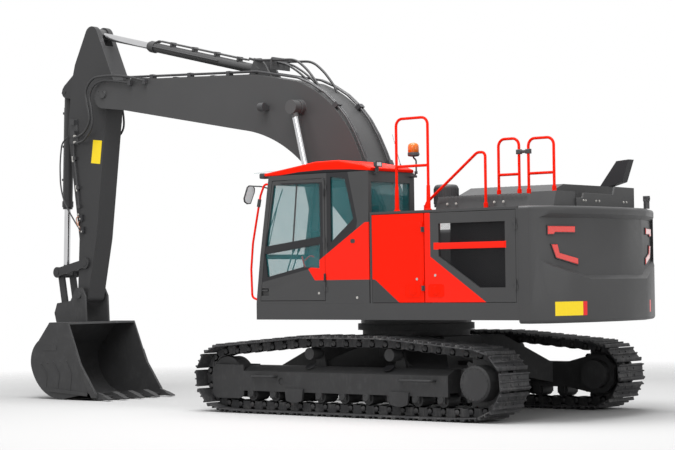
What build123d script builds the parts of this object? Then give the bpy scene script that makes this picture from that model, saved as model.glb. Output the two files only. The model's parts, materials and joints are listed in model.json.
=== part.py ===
"""Crawler excavator of the 30 tonne class, as an assembly of separate pieces.

Frame: +X points to the bucket, +Y to the machine's left (the cab side), +Z up.
The origin is the slewing axis where it meets the ground. Lengths are millimetres.
"""

import os
from math import acos, atan2, cos, hypot, pi, sin, tan

from build123d import *

# Undercarriage
tumbler_length = 4015      # idler axle to sprocket axle
track_gauge = 2590         # between the two track centres
shoe_width = 600
shoe_count = 50            # shoes on each track
grouser_height = 28
shoe_plate = 14
link_outside = 60          # pin centre to the back of the shoe plate
link_inside = 52           # pin centre to the rail that rollers run on
rail_width = 42
rail_offset = 78           # rail centre from the track centre
wheel_height = 450         # idler and sprocket axles above the ground
pin_circle = 330           # radius of the pins round idler and sprocket
carrier_lift = 897         # height of the pins over the carrier rollers
roller_radius = 78
roller_count = 9
sprocket_to_roller = 552.5 # from the wheel axles to the nearest bottom rollers
idler_to_roller = 442.5
level_run = 190            # level track beyond the end rollers
running_clearance = 1      # rollers over the rails
carrier_at = (-648, 620)   # carrier rollers along X
guide_at = (-848, 814)     # track guides along X
guide_thickness = 31
step_bars = ((-1374, -890), (1120, 1480))  # rear and front end of each step bar
step_height = 470
step_reach = 100
beam_bottom = 280
beam_side = 530
beam_top = 600
beam_outer = 165           # beam side from the track centre
sprocket_to_beam = 447.5   # from the wheel axles to the ends of the side beam
idler_to_beam = 317.5
guard_past_idler = 218.5
guard_bottom = 178
guard_top = 612
wheel_to_leg = 667.5       # from the wheel axles to the outer corners of the cross frame
leg_width = 520            # of a leg of the cross frame, where it meets the beam
slew_base_top = 1040
slew_base_radius = 690
tow_eye_reach = 800        # towing eyes in front of and behind the slewing axis
tow_eye_height = 620
tow_eye_radius = 35
tow_eye_thickness = 50
tow_eye_half = 90

# Upper structure
frame_half_width = 1463
frame_bottom = 1190
frame_top = 1394
frame_front = 1445
frame_rear = -2585
deck_plate = 16
skirt_width = 150
body_top = 2500
panel_thickness = 40
panel_gap = 14
panel_split = -1240        # seam between the two doors on the left
body_front = -415          # seam behind the cab
weight_bottom = 1150
weight_top = 2505
seat_gap = 0.3             # between pieces that rest on each other
hinge_out = 12             # hinge pins outside the panels
hinge_radius = 11
hinge_leaf = 6
hood_high = 2790
hood_right = -900
walk_top = 2655
tail_radius = 3112
# Where the outer rear faces of the counterweight start and end, X and Y, left and right
weight_corner, weight_crease = (-2908, 1268), (-3062, 660)
right_corner, right_crease = (-2800, -1230), (-3062, -600)
weight_round = 42          # upper and lower rear edges
recess_low = 1700          # floor of the recess in the rear faces
recess_high = 2366
recess_rise = 0.256        # of its lower edge beyond the crease, towards the sides
recess_slope = 0.7         # rise of its upper and lower sides for their depth
recess_depth = 66
recess_right_end = 1330
lifting_x = -2850          # threaded lifting holes in the counterweight's top
lifting_y = 450
lifting_radius = 21
lifting_depth = 70

# Cab
cab_rear = -400
lift_to_cab = 112          # from a boom cylinder to the cab's right wall
cab_height = 3010
cab_wall = 45
cab_floor = 40
pillar_line = 281          # door hinge line
door_gap = 7

# Boom, arm and bucket pins in the side plane, X and Z
boom_foot = (250, 1950)
boom_lift_foot = (1020, 1430)
boom_lift_eye = (1680, 3990)
boom_tip = (5448, 4434)
arm_lift_foot = (2600, 4580)
arm_lift_eye = (5810, 5360)
bucket_pin = (6038, 1510)
link_pin = (6463, 1282)
rocker_pin = (5969, 1982)
upper_link_pin = (6566, 1855)
bucket_lift_foot = (6470, 4560)

boom_half = 280            # half the boom's width
boom_plate = 14
arm_half = 165
arm_plate = 14
side_gap = 6               # between plates that turn past each other
rocker_plate = 30
ear_plate = 34
bucket_half = 680
bucket_shell = 28
tooth_count = 5

# Hydraulic cylinders
lift_spread = 420          # boom cylinders from the centre plane
boom_barrel = 76
boom_rod = 48
arm_barrel = 68
arm_rod = 50
arm_foot_radius = 74       # eye of its barrel, close over the boom
bucket_barrel = 72
bucket_rod = 48
gland_gap = 1
pin_fit = 0.05

half_wheels = tumbler_length / 2
half_gauge = track_gauge / 2
roller_first = sprocket_to_roller - half_wheels
roller_last = half_wheels - idler_to_roller
beam_rear = sprocket_to_beam - half_wheels
beam_front = half_wheels - idler_to_beam
leg_end = half_wheels - wheel_to_leg
cab_right = lift_spread + lift_to_cab
os.makedirs("parts", exist_ok=True)
finished = {}


def keep(builder, name):
    """Label a finished piece, which is written under the same name."""
    builder.part.label = name
    finished[name] = builder.part


def slab(plane, points, depth, both=False, mode=Mode.ADD):
    """Extrude a closed outline that is drawn on a plane."""
    with BuildSketch(plane) as outline:
        Polygon(*points)
    extrude(outline.sketch, amount=depth, both=both, mode=mode)


def side_slab(points, low, high, mode=Mode.ADD):
    """Extrude a side view, given as X and Z, from one Y to a higher one."""
    slab(Plane.XZ.offset(-high), points, high - low, mode=mode)


def block(x0, x1, y0, y1, z0, z1, mode=Mode.ADD):
    """A plain block between two corners."""
    with Locations(((x0 + x1) / 2, (y0 + y1) / 2, (z0 + z1) / 2)):
        Box(abs(x1 - x0), abs(y1 - y0), abs(z1 - z0), mode=mode)


def pin(at, low, high, radius, mode=Mode.ADD):
    """A cylinder along Y about a point given as X and Z."""
    with Locations((at[0], (low + high) / 2, at[1])):
        Cylinder(radius, high - low, rotation=(90, 0, 0), mode=mode)


def turned(points, centre, towards):
    """Move outline points, given along and across a line, to that line."""
    angle = atan2(towards[1] - centre[1], towards[0] - centre[0])
    c, s = cos(angle), sin(angle)
    return [(centre[0] + u * c - v * s, centre[1] + u * s + v * c) for u, v in points]


def shaft(start, end, y, radius, first, last, mode=Mode.ADD):
    """A round bar along the line of two pins, between two lengths from the first."""
    run = hypot(end[0] - start[0], end[1] - start[1])
    dx, dz = (end[0] - start[0]) / run, (end[1] - start[1]) / run
    base = Plane(origin=(start[0] + dx * first, y, start[1] + dz * first), z_dir=(dx, 0, dz))
    with BuildSketch(base) as round_bar:
        Circle(radius)
    extrude(round_bar.sketch, amount=last - first, mode=mode)


def pipe(points, radius, bend, mode=Mode.ADD):
    """A round pipe along straight runs, joined by arcs of one radius or less where they are short."""
    corners = [Vector(*point) for point in points]
    with BuildLine() as route:
        at = corners[0]
        for before, corner, after in zip(corners, corners[1:], corners[2:]):
            coming = (corner - before).normalized()
            leaving = (after - corner).normalized()
            half_turn = acos(min(1, coming.dot(leaving))) / 2
            if half_turn < 0.01:
                continue
            room = 0.47 * min((corner - before).length, (after - corner).length)
            reach = min(bend * tan(half_turn), room)
            inward = (leaving - coming).normalized()
            middle = corner + inward * (reach / sin(half_turn) - reach / tan(half_turn))
            Line(at, corner - coming * reach)
            ThreePointArc(corner - coming * reach, middle, corner + leaving * reach)
            at = corner + leaving * reach
        Line(at, corners[-1])
    with BuildSketch(Plane(origin=route.line @ 0, z_dir=route.line % 0)) as section:
        Circle(radius)
    sweep(section.sketch, path=route.line, mode=mode)


def post(x, y, low, high, radius):
    """An upright cylinder."""
    with Locations((x, y, (low + high) / 2)):
        Cylinder(radius, high - low)


def knuckle(x, y, z, reach, length):
    """Half of a door hinge: its barrel and the leaf that reaches to one side."""
    side = 1 if y > 0 else -1
    with Locations((x, y, z + length / 2)):
        Cylinder(hinge_radius, length)
    block(x, x + reach, y - side * hinge_out, y - side * (hinge_out - hinge_leaf), z, z + length)


def both_sides(piece, name):
    """Keep a piece with its mirror image on the other side as one node."""
    with BuildPart() as pair:
        add(piece.part)
        mirror(piece.part, about=Plane.XZ)
    keep(pair, name)


# Track loop: the line through the link pins

def tangent(centre, radius, point, side):
    """Angle on a circle where a line from a point outside touches it."""
    dx, dz = point[0] - centre[0], point[1] - centre[1]
    return atan2(dz, dx) + side * acos(radius / hypot(dx, dz))


pin_height = grouser_height + shoe_plate + link_outside
idler = (half_wheels, wheel_height)
sprocket = (-half_wheels, wheel_height)
low_front = (roller_last + level_run, pin_height)
low_rear = (roller_first - level_run, pin_height)
high_front = (carrier_at[1], carrier_lift)
high_rear = (carrier_at[0], carrier_lift)


def on_circle(centre, radius, angle):
    """Point on a circle."""
    return (centre[0] + radius * cos(angle), centre[1] + radius * sin(angle))


def loop_line():
    """The pin line as short straight steps, from the rear low point forwards."""
    front_low = tangent(idler, pin_circle, low_front, 1)
    front_high = tangent(idler, pin_circle, high_front, -1)
    rear_high = tangent(sprocket, pin_circle, high_rear, 1)
    rear_low = tangent(sprocket, pin_circle, low_rear, -1)
    if front_low > 0:
        front_low -= 2 * pi
    if rear_low < rear_high:
        rear_low += 2 * pi
    steps = 60
    line = [low_rear, low_front]
    for i in range(steps + 1):
        angle = front_low + (front_high - front_low) * i / steps
        line.append(on_circle(idler, pin_circle, angle))
    line += [high_front, high_rear]
    for i in range(steps + 1):
        angle = rear_high + (rear_low - rear_high) * i / steps
        line.append(on_circle(sprocket, pin_circle, angle))
    line.append(low_rear)
    return line


def link_pins(line, count):
    """Pins spaced evenly along the closed line."""
    lengths = [0.0]
    for a, b in zip(line, line[1:]):
        lengths.append(lengths[-1] + hypot(b[0] - a[0], b[1] - a[1]))
    pins = []
    k = 0
    for i in range(count):
        goal = lengths[-1] * i / count
        while lengths[k + 1] < goal:
            k += 1
        part = (goal - lengths[k]) / (lengths[k + 1] - lengths[k])
        a, b = line[k], line[k + 1]
        pins.append((a[0] + (b[0] - a[0]) * part, a[1] + (b[1] - a[1]) * part))
    return pins


def offset_pin(pins, i, distance):
    """Corner of the loop moved outwards from pin i, on the bisector of its links."""
    n = len(pins)
    before, at, after = pins[i - 1], pins[i], pins[(i + 1) % n]
    a = atan2(at[1] - before[1], at[0] - before[0])
    b = atan2(after[1] - at[1], after[0] - at[0])
    turn = (b - a + pi) % (2 * pi) - pi
    normal = a + turn / 2 - pi / 2
    reach = distance / cos(turn / 2)
    return (at[0] + reach * cos(normal), at[1] + reach * sin(normal))


pins = link_pins(loop_line(), shoe_count)
tip = link_outside + shoe_plate + grouser_height
face = link_outside + shoe_plate
# One shoe: share of the pitch along the link, height over the pin line
shoe_outline = [
    (0.03, tip),
    (0.11, face),
    (0.44, face),
    (0.50, tip),
    (0.56, face),
    (0.89, face),
    (0.97, tip),
]
outer_loop = []
for i in range(shoe_count):
    here, there = pins[i], pins[(i + 1) % shoe_count]
    outer_loop.append(offset_pin(pins, i, link_outside))
    pitch = hypot(there[0] - here[0], there[1] - here[1])
    ux, uz = (there[0] - here[0]) / pitch, (there[1] - here[1]) / pitch
    for share, height in shoe_outline:
        outer_loop.append(
            (here[0] + ux * pitch * share + uz * height, here[1] + uz * pitch * share - ux * height)
        )
plate_loop = [offset_pin(pins, i, link_outside - 2) for i in range(shoe_count)]
rail_loop = [offset_pin(pins, i, -link_inside) for i in range(shoe_count)]

with BuildPart() as track_left:
    with BuildSketch(Plane.XZ.offset(-half_gauge)) as shoe_ring:
        Polygon(*outer_loop)
        Polygon(*plate_loop, mode=Mode.SUBTRACT)
    extrude(amount=shoe_width / 2, both=True)
    for across in (-rail_offset, rail_offset):
        with BuildSketch(Plane.XZ.offset(-half_gauge - across)) as rail_ring:
            Polygon(*plate_loop)
            Polygon(*rail_loop, mode=Mode.SUBTRACT)
        extrude(amount=rail_width / 2, both=True)
keep(track_left, "track_left")

with BuildPart() as track_right:
    mirror(track_left.part, about=Plane.XZ)
keep(track_right, "track_right")

# Sprockets and idlers turn between and on the rails
sprocket_half = rail_offset - rail_width / 2 - 18
tooth_pitch = 2 * pi / 21
sprocket_teeth = []
for i in range(21):
    # Share of one tooth, radius from the pin circle
    for share, height in ((0.0, -34), (0.2, -34), (0.42, 12), (0.78, 12)):
        sprocket_teeth.append(
            on_circle(sprocket, pin_circle + height, (i + share) * tooth_pitch)
        )
drive_radius = 215
motor_radius = 180
drive_outer = 262
with BuildPart() as sprocket_left:
    side_slab(sprocket_teeth, half_gauge - sprocket_half, half_gauge + sprocket_half)
    pin(sprocket, half_gauge - sprocket_half, half_gauge + sprocket_half, 120, Mode.SUBTRACT)
both_sides(sprocket_left, "sprockets")

with BuildPart() as drive_left:
    pin(sprocket, half_gauge - sprocket_half, half_gauge + sprocket_half, 120 - pin_fit)
    pin(sprocket, half_gauge + sprocket_half, half_gauge + drive_outer, drive_radius)
    chamfer(
        drive_left.edges().filter_by(GeomType.CIRCLE).group_by(Axis.Y)[-1], 22
    )
    pin(sprocket, half_gauge - 270, half_gauge - sprocket_half, motor_radius)
both_sides(drive_left, "final_drives")

# The links lie as chords of the pin circle, so the rim is smaller than it
loop_pitch = hypot(pins[1][0] - pins[0][0], pins[1][1] - pins[0][1])
chord_radius = (pin_circle**2 - (loop_pitch / 2) ** 2) ** 0.5
idler_rim = chord_radius - link_inside - running_clearance
with BuildPart() as idler_left:
    pin(idler, half_gauge - 112, half_gauge + 112, idler_rim)
    pin(idler, half_gauge - beam_outer + 25, half_gauge + beam_outer - 25, 70)
both_sides(idler_left, "idlers")

# Bottom rollers and carrier rollers
roller_height = pin_height + link_inside + roller_radius + 0.6
roller_half = 118
channel_half = 124
roller_step = (roller_last - roller_first) / (roller_count - 1)
with BuildPart() as rollers_left:
    for i in range(roller_count):
        at = (roller_first + roller_step * i, roller_height)
        pin(at, half_gauge - roller_half, half_gauge + roller_half, roller_radius)
        for side in (-1, 1):
            near, far = half_gauge + side * roller_half, half_gauge + side * (beam_outer - 3)
            block(at[0] - 52, at[0] + 52, near, far, at[1] - 34, beam_bottom)
both_sides(rollers_left, "bottom_rollers")

carrier_radius = 75
carrier_height = carrier_lift - link_inside - carrier_radius - 6
with BuildPart() as carriers_left:
    for x in carrier_at:
        at = (x, carrier_height)
        pin(at, half_gauge - 60, half_gauge + 112, carrier_radius)
        pin(at, half_gauge - 110, half_gauge - 60, 40)
        side_slab(
            [(x - 85, beam_top), (x + 85, beam_top), (x + 50, at[1] + 30), (x - 50, at[1] + 30)],
            half_gauge - 145, half_gauge - 110,
        )
both_sides(carriers_left, "carrier_rollers")

# Side beams with the idler guards in front and the drive plate behind
guard_front = half_wheels + guard_past_idler
with BuildPart() as beam_left:
    slab(
        Plane.YZ.offset(beam_rear),
        [
            (half_gauge + beam_outer, beam_bottom), (half_gauge + beam_outer, beam_side),
            (half_gauge + 30, beam_top), (half_gauge - beam_outer, beam_top),
            (half_gauge - beam_outer, beam_bottom),
        ],
        beam_front - beam_rear,
    )
    # Channel under the beam for the rollers
    block(beam_rear, beam_front, half_gauge - channel_half, half_gauge + channel_half,
          beam_bottom, roller_height + roller_radius + 12, Mode.SUBTRACT)
    for low in (half_gauge - beam_outer, half_gauge + beam_outer - 25):
        side_slab(
            [
                (beam_front - 5, guard_bottom + 40), (beam_front + 70, guard_bottom),
                (guard_front - 60, guard_bottom), (guard_front, guard_bottom + 60),
                (guard_front, guard_top - 60), (guard_front - 60, guard_top),
                (beam_front - 5, guard_top),
            ],
            low, low + 25,
        )
    # Bracket that carries the travel motor on the inner side
    side_slab(
        [
            (beam_rear + 5, beam_bottom), (beam_rear + 5, beam_top), (sprocket[0] + 100, 690),
            (sprocket[0] - 120, 690), (sprocket[0] - 240, 560), (sprocket[0] - 240, 340),
            (sprocket[0] - 120, 215), (sprocket[0] + 100, 215),
        ],
        half_gauge - beam_outer, half_gauge - beam_outer + 60,
    )
    pin(sprocket, half_gauge - beam_outer, half_gauge - beam_outer + 60,
        motor_radius + pin_fit, Mode.SUBTRACT)
    # Track guides on both sides of the beam, step bars outside it
    for x in guide_at:
        for low in (half_gauge - beam_outer - guide_thickness, half_gauge + beam_outer):
            side_slab(
                [
                    (x - 150, beam_bottom + 45), (x - 130, 175), (x - 45, 150),
                    (x + 45, 150), (x + 130, 175), (x + 150, beam_bottom + 45),
                ],
                low, low + guide_thickness,
            )
    near = half_gauge + beam_outer - 5
    for rear, front in step_bars:
        pipe([(rear, near, step_height), (rear, near + step_reach, step_height),
              (front, near + step_reach, step_height), (front, near, step_height)], 16, 50)
    # Hole for the track adjuster
    pin((1044, 409), half_gauge + beam_outer - 12, half_gauge + beam_outer + 1, 46, Mode.SUBTRACT)
keep(beam_left, "track_frame_left")
with BuildPart() as beam_right:
    mirror(beam_left.part, about=Plane.XZ)
keep(beam_right, "track_frame_right")

# Cross frame between the beams, with the seat of the slewing ring
beam_inner = half_gauge - beam_outer
with BuildPart() as carbody:
    for sx in (-1, 1):
        for sy in (-1, 1):
            # Plan of one leg: share of the way out, X and Y
            leg = [(0, 0), (720, 0), (720, 420), (leg_end, beam_inner),
                   (leg_end - leg_width, beam_inner), (0, 640)]
            leg = [(sx * x, sy * y) for x, y in leg]
            slab(Plane.XY.offset(300), leg if sx * sy > 0 else leg[::-1], 700)
    slab(
        Plane.YZ.offset(-1400),
        [
            (-beam_inner, 330), (-620, 480), (620, 480), (beam_inner, 330), (beam_inner, 590),
            (640, 960), (-640, 960), (-beam_inner, 590),
        ],
        2800, mode=Mode.INTERSECT,
    )
    with Locations((0, 0, (700 + slew_base_top) / 2)):
        Cylinder(slew_base_radius, slew_base_top - 700)
    # Towing and tie-down eyes in front and behind
    for end in (-1, 1):
        block(end * 690, end * (tow_eye_reach + tow_eye_half), -tow_eye_half, tow_eye_half,
              tow_eye_height - tow_eye_thickness / 2, tow_eye_height + tow_eye_thickness / 2)
        with Locations((end * tow_eye_reach, 0, tow_eye_height)):
            Cylinder(tow_eye_radius, 2 * tow_eye_thickness, mode=Mode.SUBTRACT)
keep(carbody, "cross_frame")

slew_split = 1120
with BuildPart() as slew_ring:
    with Locations((0, 0, (slew_base_top + slew_split) / 2)):
        Cylinder(slew_base_radius + 60, slew_split - slew_base_top)
        Cylinder(slew_base_radius - 140, slew_split - slew_base_top, mode=Mode.SUBTRACT)
keep(slew_ring, "slew_ring")

# Revolving frame: side skirts, deck, ring seat and the boom towers
tower_low, tower_high = 292, 330
running_gap = seat_gap
with BuildPart() as revolving_frame:
    block(frame_rear, frame_front, -frame_half_width, frame_half_width,
          frame_top - deck_plate, frame_top)
    for side in (-1, 1):
        block(frame_rear, frame_front, side * (frame_half_width - skirt_width),
              side * frame_half_width, frame_bottom, frame_top - deck_plate)
    block(frame_front - 60, frame_front, -frame_half_width + skirt_width,
          frame_half_width - skirt_width, frame_bottom, frame_top - deck_plate)
    block(frame_rear, frame_front - 60, -tower_high, tower_high, frame_bottom, frame_bottom + 30)
    with Locations((0, 0, (slew_split + running_gap + frame_bottom + 30) / 2)):
        Cylinder(slew_base_radius + 20, frame_bottom + 30 - slew_split - running_gap)
    for side in (-1, 1):
        low = tower_low if side > 0 else -tower_high
        side_slab(
            [
                (frame_rear, frame_bottom), (frame_front - 60, frame_bottom),
                (frame_front - 60, frame_top), (boom_lift_foot[0] + 120, frame_top),
                (boom_lift_foot[0] + 110, boom_lift_foot[1] + 60),
                (boom_foot[0] + 190, boom_foot[1] - 30), (boom_foot[0] + 150, boom_foot[1] + 150),
                (boom_foot[0] - 90, boom_foot[1] + 180), (boom_foot[0] - 220, boom_foot[1]),
                (-900, frame_top + 200), (-1100, frame_top), (frame_rear, frame_top),
            ],
            low, low + tower_high - tower_low,
        )
    for side in (-1, 1):
        near, far = side * (lift_spread - 80), side * (lift_spread + 80)
        block(boom_lift_foot[0] - 150, boom_lift_foot[0] + 200, near, far,
              frame_top - deck_plate, frame_top, Mode.SUBTRACT)
    pin(boom_foot, -tower_high - 60, tower_high + 60, 60)
    for side in (-1, 1):
        pin(boom_lift_foot, min(side * tower_low, side * (lift_spread + 62)),
            max(side * tower_low, side * (lift_spread + 62)), 45)
keep(revolving_frame, "revolving_frame")

# Counterweight, drawn in plan: X and Y
weight_outline = [
    (frame_rear - seat_gap, frame_half_width), (-2730, frame_half_width), weight_corner,
    weight_crease, (-tail_radius, 0), right_crease, right_corner, (-2640, -frame_half_width),
    (frame_rear - seat_gap, -frame_half_width),
]


def outer_section(corner, crease, end):
    """Section where the recess ends: Y, X of the rear face and the recess's lower edge."""
    slope = (corner[0] - crease[0]) / (corner[1] - crease[1])
    away = end - crease[1]
    return (end, crease[0] + away * slope, recess_low + abs(away) * recess_rise)


recess_sections = [
    outer_section(weight_corner, weight_crease, frame_half_width + 20),
    (weight_crease[1], weight_crease[0], recess_low),
    (0, -tail_radius, recess_low),
    (right_crease[1], right_crease[0], recess_low),
    outer_section(right_corner, right_crease, -recess_right_end),
]
beyond = -tail_radius - 200
with BuildPart() as recess:
    for y, x, low in recess_sections:
        floor_x = x + recess_depth
        flare = (floor_x - beyond) * recess_slope
        with BuildSketch(Plane.XZ.offset(-y)):
            Polygon((beyond, low - flare), (floor_x, low), (floor_x, recess_high),
                    (beyond, recess_high + flare))
    loft(ruled=True)
with BuildPart() as counterweight:
    slab(Plane.XY.offset(weight_bottom), weight_outline, weight_top - weight_bottom)
    level_edges = counterweight.edges().filter_by(Plane.XY)
    for group in (level_edges.group_by(Axis.Z)[-1], level_edges.group_by(Axis.Z)[0]):
        fillet([e for e in group if (e @ 0.5).X < frame_rear - 1], weight_round)
    add(recess.part, mode=Mode.SUBTRACT)
    for side in (-1, 1):
        with Locations((lifting_x, side * lifting_y, weight_top)):
            Cylinder(lifting_radius, 2 * lifting_depth, mode=Mode.SUBTRACT)
keep(counterweight, "counterweight")

# Outlines of the rear lamps: distance from the corner along the outer rear face, and height
upper_lamp = [(15, 2175), (100, 2175), (125, 2199), (437, 2199), (437, 2268), (15, 2268)]
lower_lamp = [(139, 1906), (481, 1827), (481, 1895), (189, 1959), (160, 2057), (70, 2057)]
lamp_height = 22
camera_x, camera_y = -2960, -792


def recess_floor(corner, crease, side):
    """Plane on the floor of the recess in an outer rear face, looked at from behind."""
    run = side * hypot(crease[0] - corner[0], crease[1] - corner[1])
    along = ((crease[0] - corner[0]) / run, (crease[1] - corner[1]) / run)
    return Plane(origin=(corner[0] + recess_depth, corner[1], 0),
                 x_dir=(along[0], along[1], 0), z_dir=(along[1], -along[0], 0))


with BuildPart() as rear_lamps:
    for outline in (upper_lamp, lower_lamp):
        slab(recess_floor(weight_corner, weight_crease, 1), outline, lamp_height)
        slab(recess_floor(right_corner, right_crease, -1),
             [(-along, z) for along, z in reversed(outline)], lamp_height)
    block(camera_x - 20, camera_x + 20, camera_y - 42, camera_y + 42, weight_top, weight_top + 110)
    block(camera_x - 38, camera_x + 34, camera_y - 34, camera_y + 34, weight_top + 90,
          weight_top + 158)
keep(rear_lamps, "rear_lamps_and_camera")

# Body panels behind the cab, with their door hinges
hinge_heights = (1600, 2300)
hinge_length = 60
seam_hinge = panel_split + 25
rear_hinge = frame_rear + 32
left_hinge_y = frame_half_width + hinge_out
inner_side = frame_half_width - panel_thickness
hood_front, hood_rear = -1190, -2540
hood_axis_x, hood_axis_z = hood_rear - 14, body_top + hinge_radius + 1
hood_hinge_at = (-700, 400)
with BuildPart() as body_shell:
    block(frame_rear, body_front, -frame_half_width, inner_side + panel_thickness,
          body_top - 30, body_top)
    block(body_front - 30, body_front, 340, frame_half_width, frame_top, body_top - 30)
    block(body_front - 30, body_front, -frame_half_width, -340, frame_top, body_top - 30)
    block(frame_rear, frame_rear + 30, -frame_half_width, frame_half_width,
          frame_top, body_top - 30)
    block(panel_split - 40, panel_split + 40, inner_side - 60, inner_side - 5,
          frame_top, body_top - 30)
    block(-2300, -1300, -700, 700, body_top - 30, body_top, Mode.SUBTRACT)
    # Strap hinges that come out of the seam between the two left doors
    for z in hinge_heights:
        low, high = z - hinge_length - seat_gap, z - seat_gap
        block(panel_split - 1, panel_split + 3, inner_side - 5, frame_half_width + 5, low, high)
        block(panel_split - 1, seam_hinge, frame_half_width + 1, frame_half_width + 5, low, high)
        with Locations((seam_hinge, left_hinge_y, (low + high) / 2)):
            Cylinder(hinge_radius, hinge_length)
    # Hood hinges along the rear edge
    for y in hood_hinge_at:
        pin((hood_axis_x, hood_axis_z), y, y + hinge_length, hinge_radius)
        block(hood_axis_x - 6, hood_axis_x + 6, y, y + hinge_length, body_top, hood_axis_z)
    for z in hinge_heights:
        knuckle(rear_hinge, left_hinge_y, z - hinge_length - seat_gap, -30, hinge_length)
        knuckle(rear_hinge, -left_hinge_y, z - hinge_length - seat_gap, -30, hinge_length)
keep(body_shell, "body_shell")

door_bottom = frame_top + 6
door_top = body_top - 36
grille_rear, grille_front = -2405, -1452
grille_low, grille_high = 1570, 2335
grille_opening = [
    (grille_front, grille_high), (grille_rear, grille_high), (grille_rear, grille_low),
    (-2035, grille_low), (grille_front, 1945),
]
grille_bar = (2030, 2105)  # the red bar across the grille
slat_pitch, slat_height = 75, 26
with BuildPart() as front_door:
    block(panel_split + panel_gap / 2, body_front - 34, inner_side, frame_half_width,
          door_bottom, door_top)
    for z in hinge_heights:
        knuckle(seam_hinge, left_hinge_y, z, 40, hinge_length)
keep(front_door, "left_front_door")

with BuildPart() as rear_door:
    block(frame_rear + 34, panel_split - panel_gap / 2, inner_side, frame_half_width,
          door_bottom, door_top)
    side_slab(grille_opening, inner_side, frame_half_width, Mode.SUBTRACT)
    block(grille_rear, grille_front, inner_side, frame_half_width + 6, *grille_bar)
    for z in hinge_heights:
        knuckle(rear_hinge, left_hinge_y, z, 40, hinge_length)
keep(rear_door, "left_grille_door")

with BuildPart() as door_grille:
    for i in range(10):
        low = grille_low + 30 + i * slat_pitch
        if low + slat_height < grille_bar[0] or low > grille_bar[1]:
            block(grille_rear - 10, grille_front + 10, inner_side + 8, inner_side + 20,
                  low, low + slat_height)
    side_slab(grille_opening, inner_side, frame_half_width, Mode.INTERSECT)
keep(door_grille, "door_grille")

with BuildPart() as right_door:
    block(frame_rear + 34, -1110, -frame_half_width, -inner_side, door_bottom, door_top)
    for z in hinge_heights:
        knuckle(rear_hinge, -left_hinge_y, z, 40, hinge_length)
keep(right_door, "right_side_door")

with BuildPart() as hydraulic_tank:
    block(-1100, body_front - 34, -frame_half_width + 2, -620, frame_top, door_top)
keep(hydraulic_tank, "hydraulic_tank")
with BuildPart() as fuel_tank:
    block(body_front + 6, 560, -frame_half_width, -620, frame_top, 2330)
    fillet(fuel_tank.edges().filter_by(Axis.X).group_by(Axis.Z)[-1], 60)
keep(fuel_tank, "fuel_tank")
with BuildPart() as tool_box:
    block(566, 1000, -frame_half_width, -620, frame_top, 1950)
    block(1000, frame_front, -frame_half_width, -620, frame_top, 1680)
keep(tool_box, "tool_box")

with BuildPart() as engine:
    block(-2200, -1350, -560, 560, frame_top, 2300)
keep(engine, "engine_block")
with BuildPart() as radiator:
    block(-2250, -1400, inner_side - 523, inner_side - 273, frame_top, 2380)
keep(radiator, "radiator")

# Walkway box on the left, engine hood between it and the right side
hood_left = 690
walk_inner = hood_left + 10
walk_foot = frame_half_width - 303
walk_outer = walk_foot - 60
walk_end, walk_end_top = -2880, walk_top + 24
with BuildPart() as walkway:
    slab(
        Plane.YZ.offset(hood_rear),
        [(walk_inner, body_top), (walk_foot, body_top), (walk_outer, walk_top),
         (walk_inner, walk_top)],
        hood_front - hood_rear,
    )
    # It goes on over the counterweight
    slab(
        Plane.YZ.offset(walk_end),
        [(walk_inner, weight_top + seat_gap), (walk_foot, weight_top + seat_gap),
         (walk_outer, walk_end_top), (walk_inner, walk_end_top)],
        hood_rear - walk_end,
    )
keep(walkway, "left_walkway")
with BuildPart() as hood:
    slab(
        Plane.YZ.offset(hood_rear),
        [(hood_right, body_top + seat_gap), (hood_left, body_top + seat_gap),
         (hood_left, hood_high - 100), (hood_left - 270, hood_high),
         (hood_right + 140, hood_high), (hood_right, hood_high - 90)],
        hood_front - hood_rear,
    )
    slab(
        Plane.YZ.offset(hood_rear + 30),
        [(hood_right + 30, body_top), (hood_left - 30, body_top), (hood_left - 30, hood_high - 120),
         (hood_left - 280, hood_high - 30), (hood_right + 150, hood_high - 30),
         (hood_right + 30, hood_high - 110)],
        hood_front - hood_rear - 60, mode=Mode.SUBTRACT,
    )
    for y in hood_hinge_at:
        low = y + hinge_length + seat_gap
        pin((hood_axis_x, hood_axis_z), low, low + hinge_length, hinge_radius)
        block(hood_axis_x, hood_rear + 1, low, low + hinge_length, hood_axis_z - 5, hood_axis_z + 8)
keep(hood, "engine_hood")
with BuildPart() as stack:
    side_slab(
        [
            (-2400, hood_high), (hood_rear + 5, hood_high), (-2725, hood_high + 50),
            (-2823, hood_high + 322), (-2646, hood_high + 309),
        ],
        -740, -620,
    )
keep(stack, "exhaust_stack")
precleaner_radius, precleaner_height = 150, 335
with BuildPart() as precleaner:
    post(-1020, walk_inner, body_top, body_top + precleaner_height, precleaner_radius * 0.6)
    post(-1020, walk_inner, body_top + 60, body_top + precleaner_height, precleaner_radius)
    fillet(precleaner.edges().filter_by(GeomType.CIRCLE).group_by(Axis.Z)[-1], 45)
keep(precleaner, "air_precleaner")

# Handrails on the left, their feet in sleeves
rail_r = 17
rail_bend = 90
sleeve = 26
sleeve_height = 70
cab_profile = [
    (cab_rear, frame_top + seat_gap), (frame_front, frame_top + seat_gap), (1372, 2000),
    (1215, cab_height), (cab_rear, cab_height),
]


def rail_frame(rear, front, y, rear_foot, front_foot, top, middle):
    """A handrail of two posts with a rounded top and a bar between them."""
    pipe([(rear, y, rear_foot), (rear, y, top), (front, y, top), (front, y, front_foot)],
         rail_r, rail_bend)
    pipe([(rear, y, middle), (front, y, middle)], rail_r, rail_bend)
    post(rear, y, rear_foot, rear_foot + sleeve_height, sleeve)
    post(front, y, front_foot, front_foot + sleeve_height, sleeve)


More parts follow.
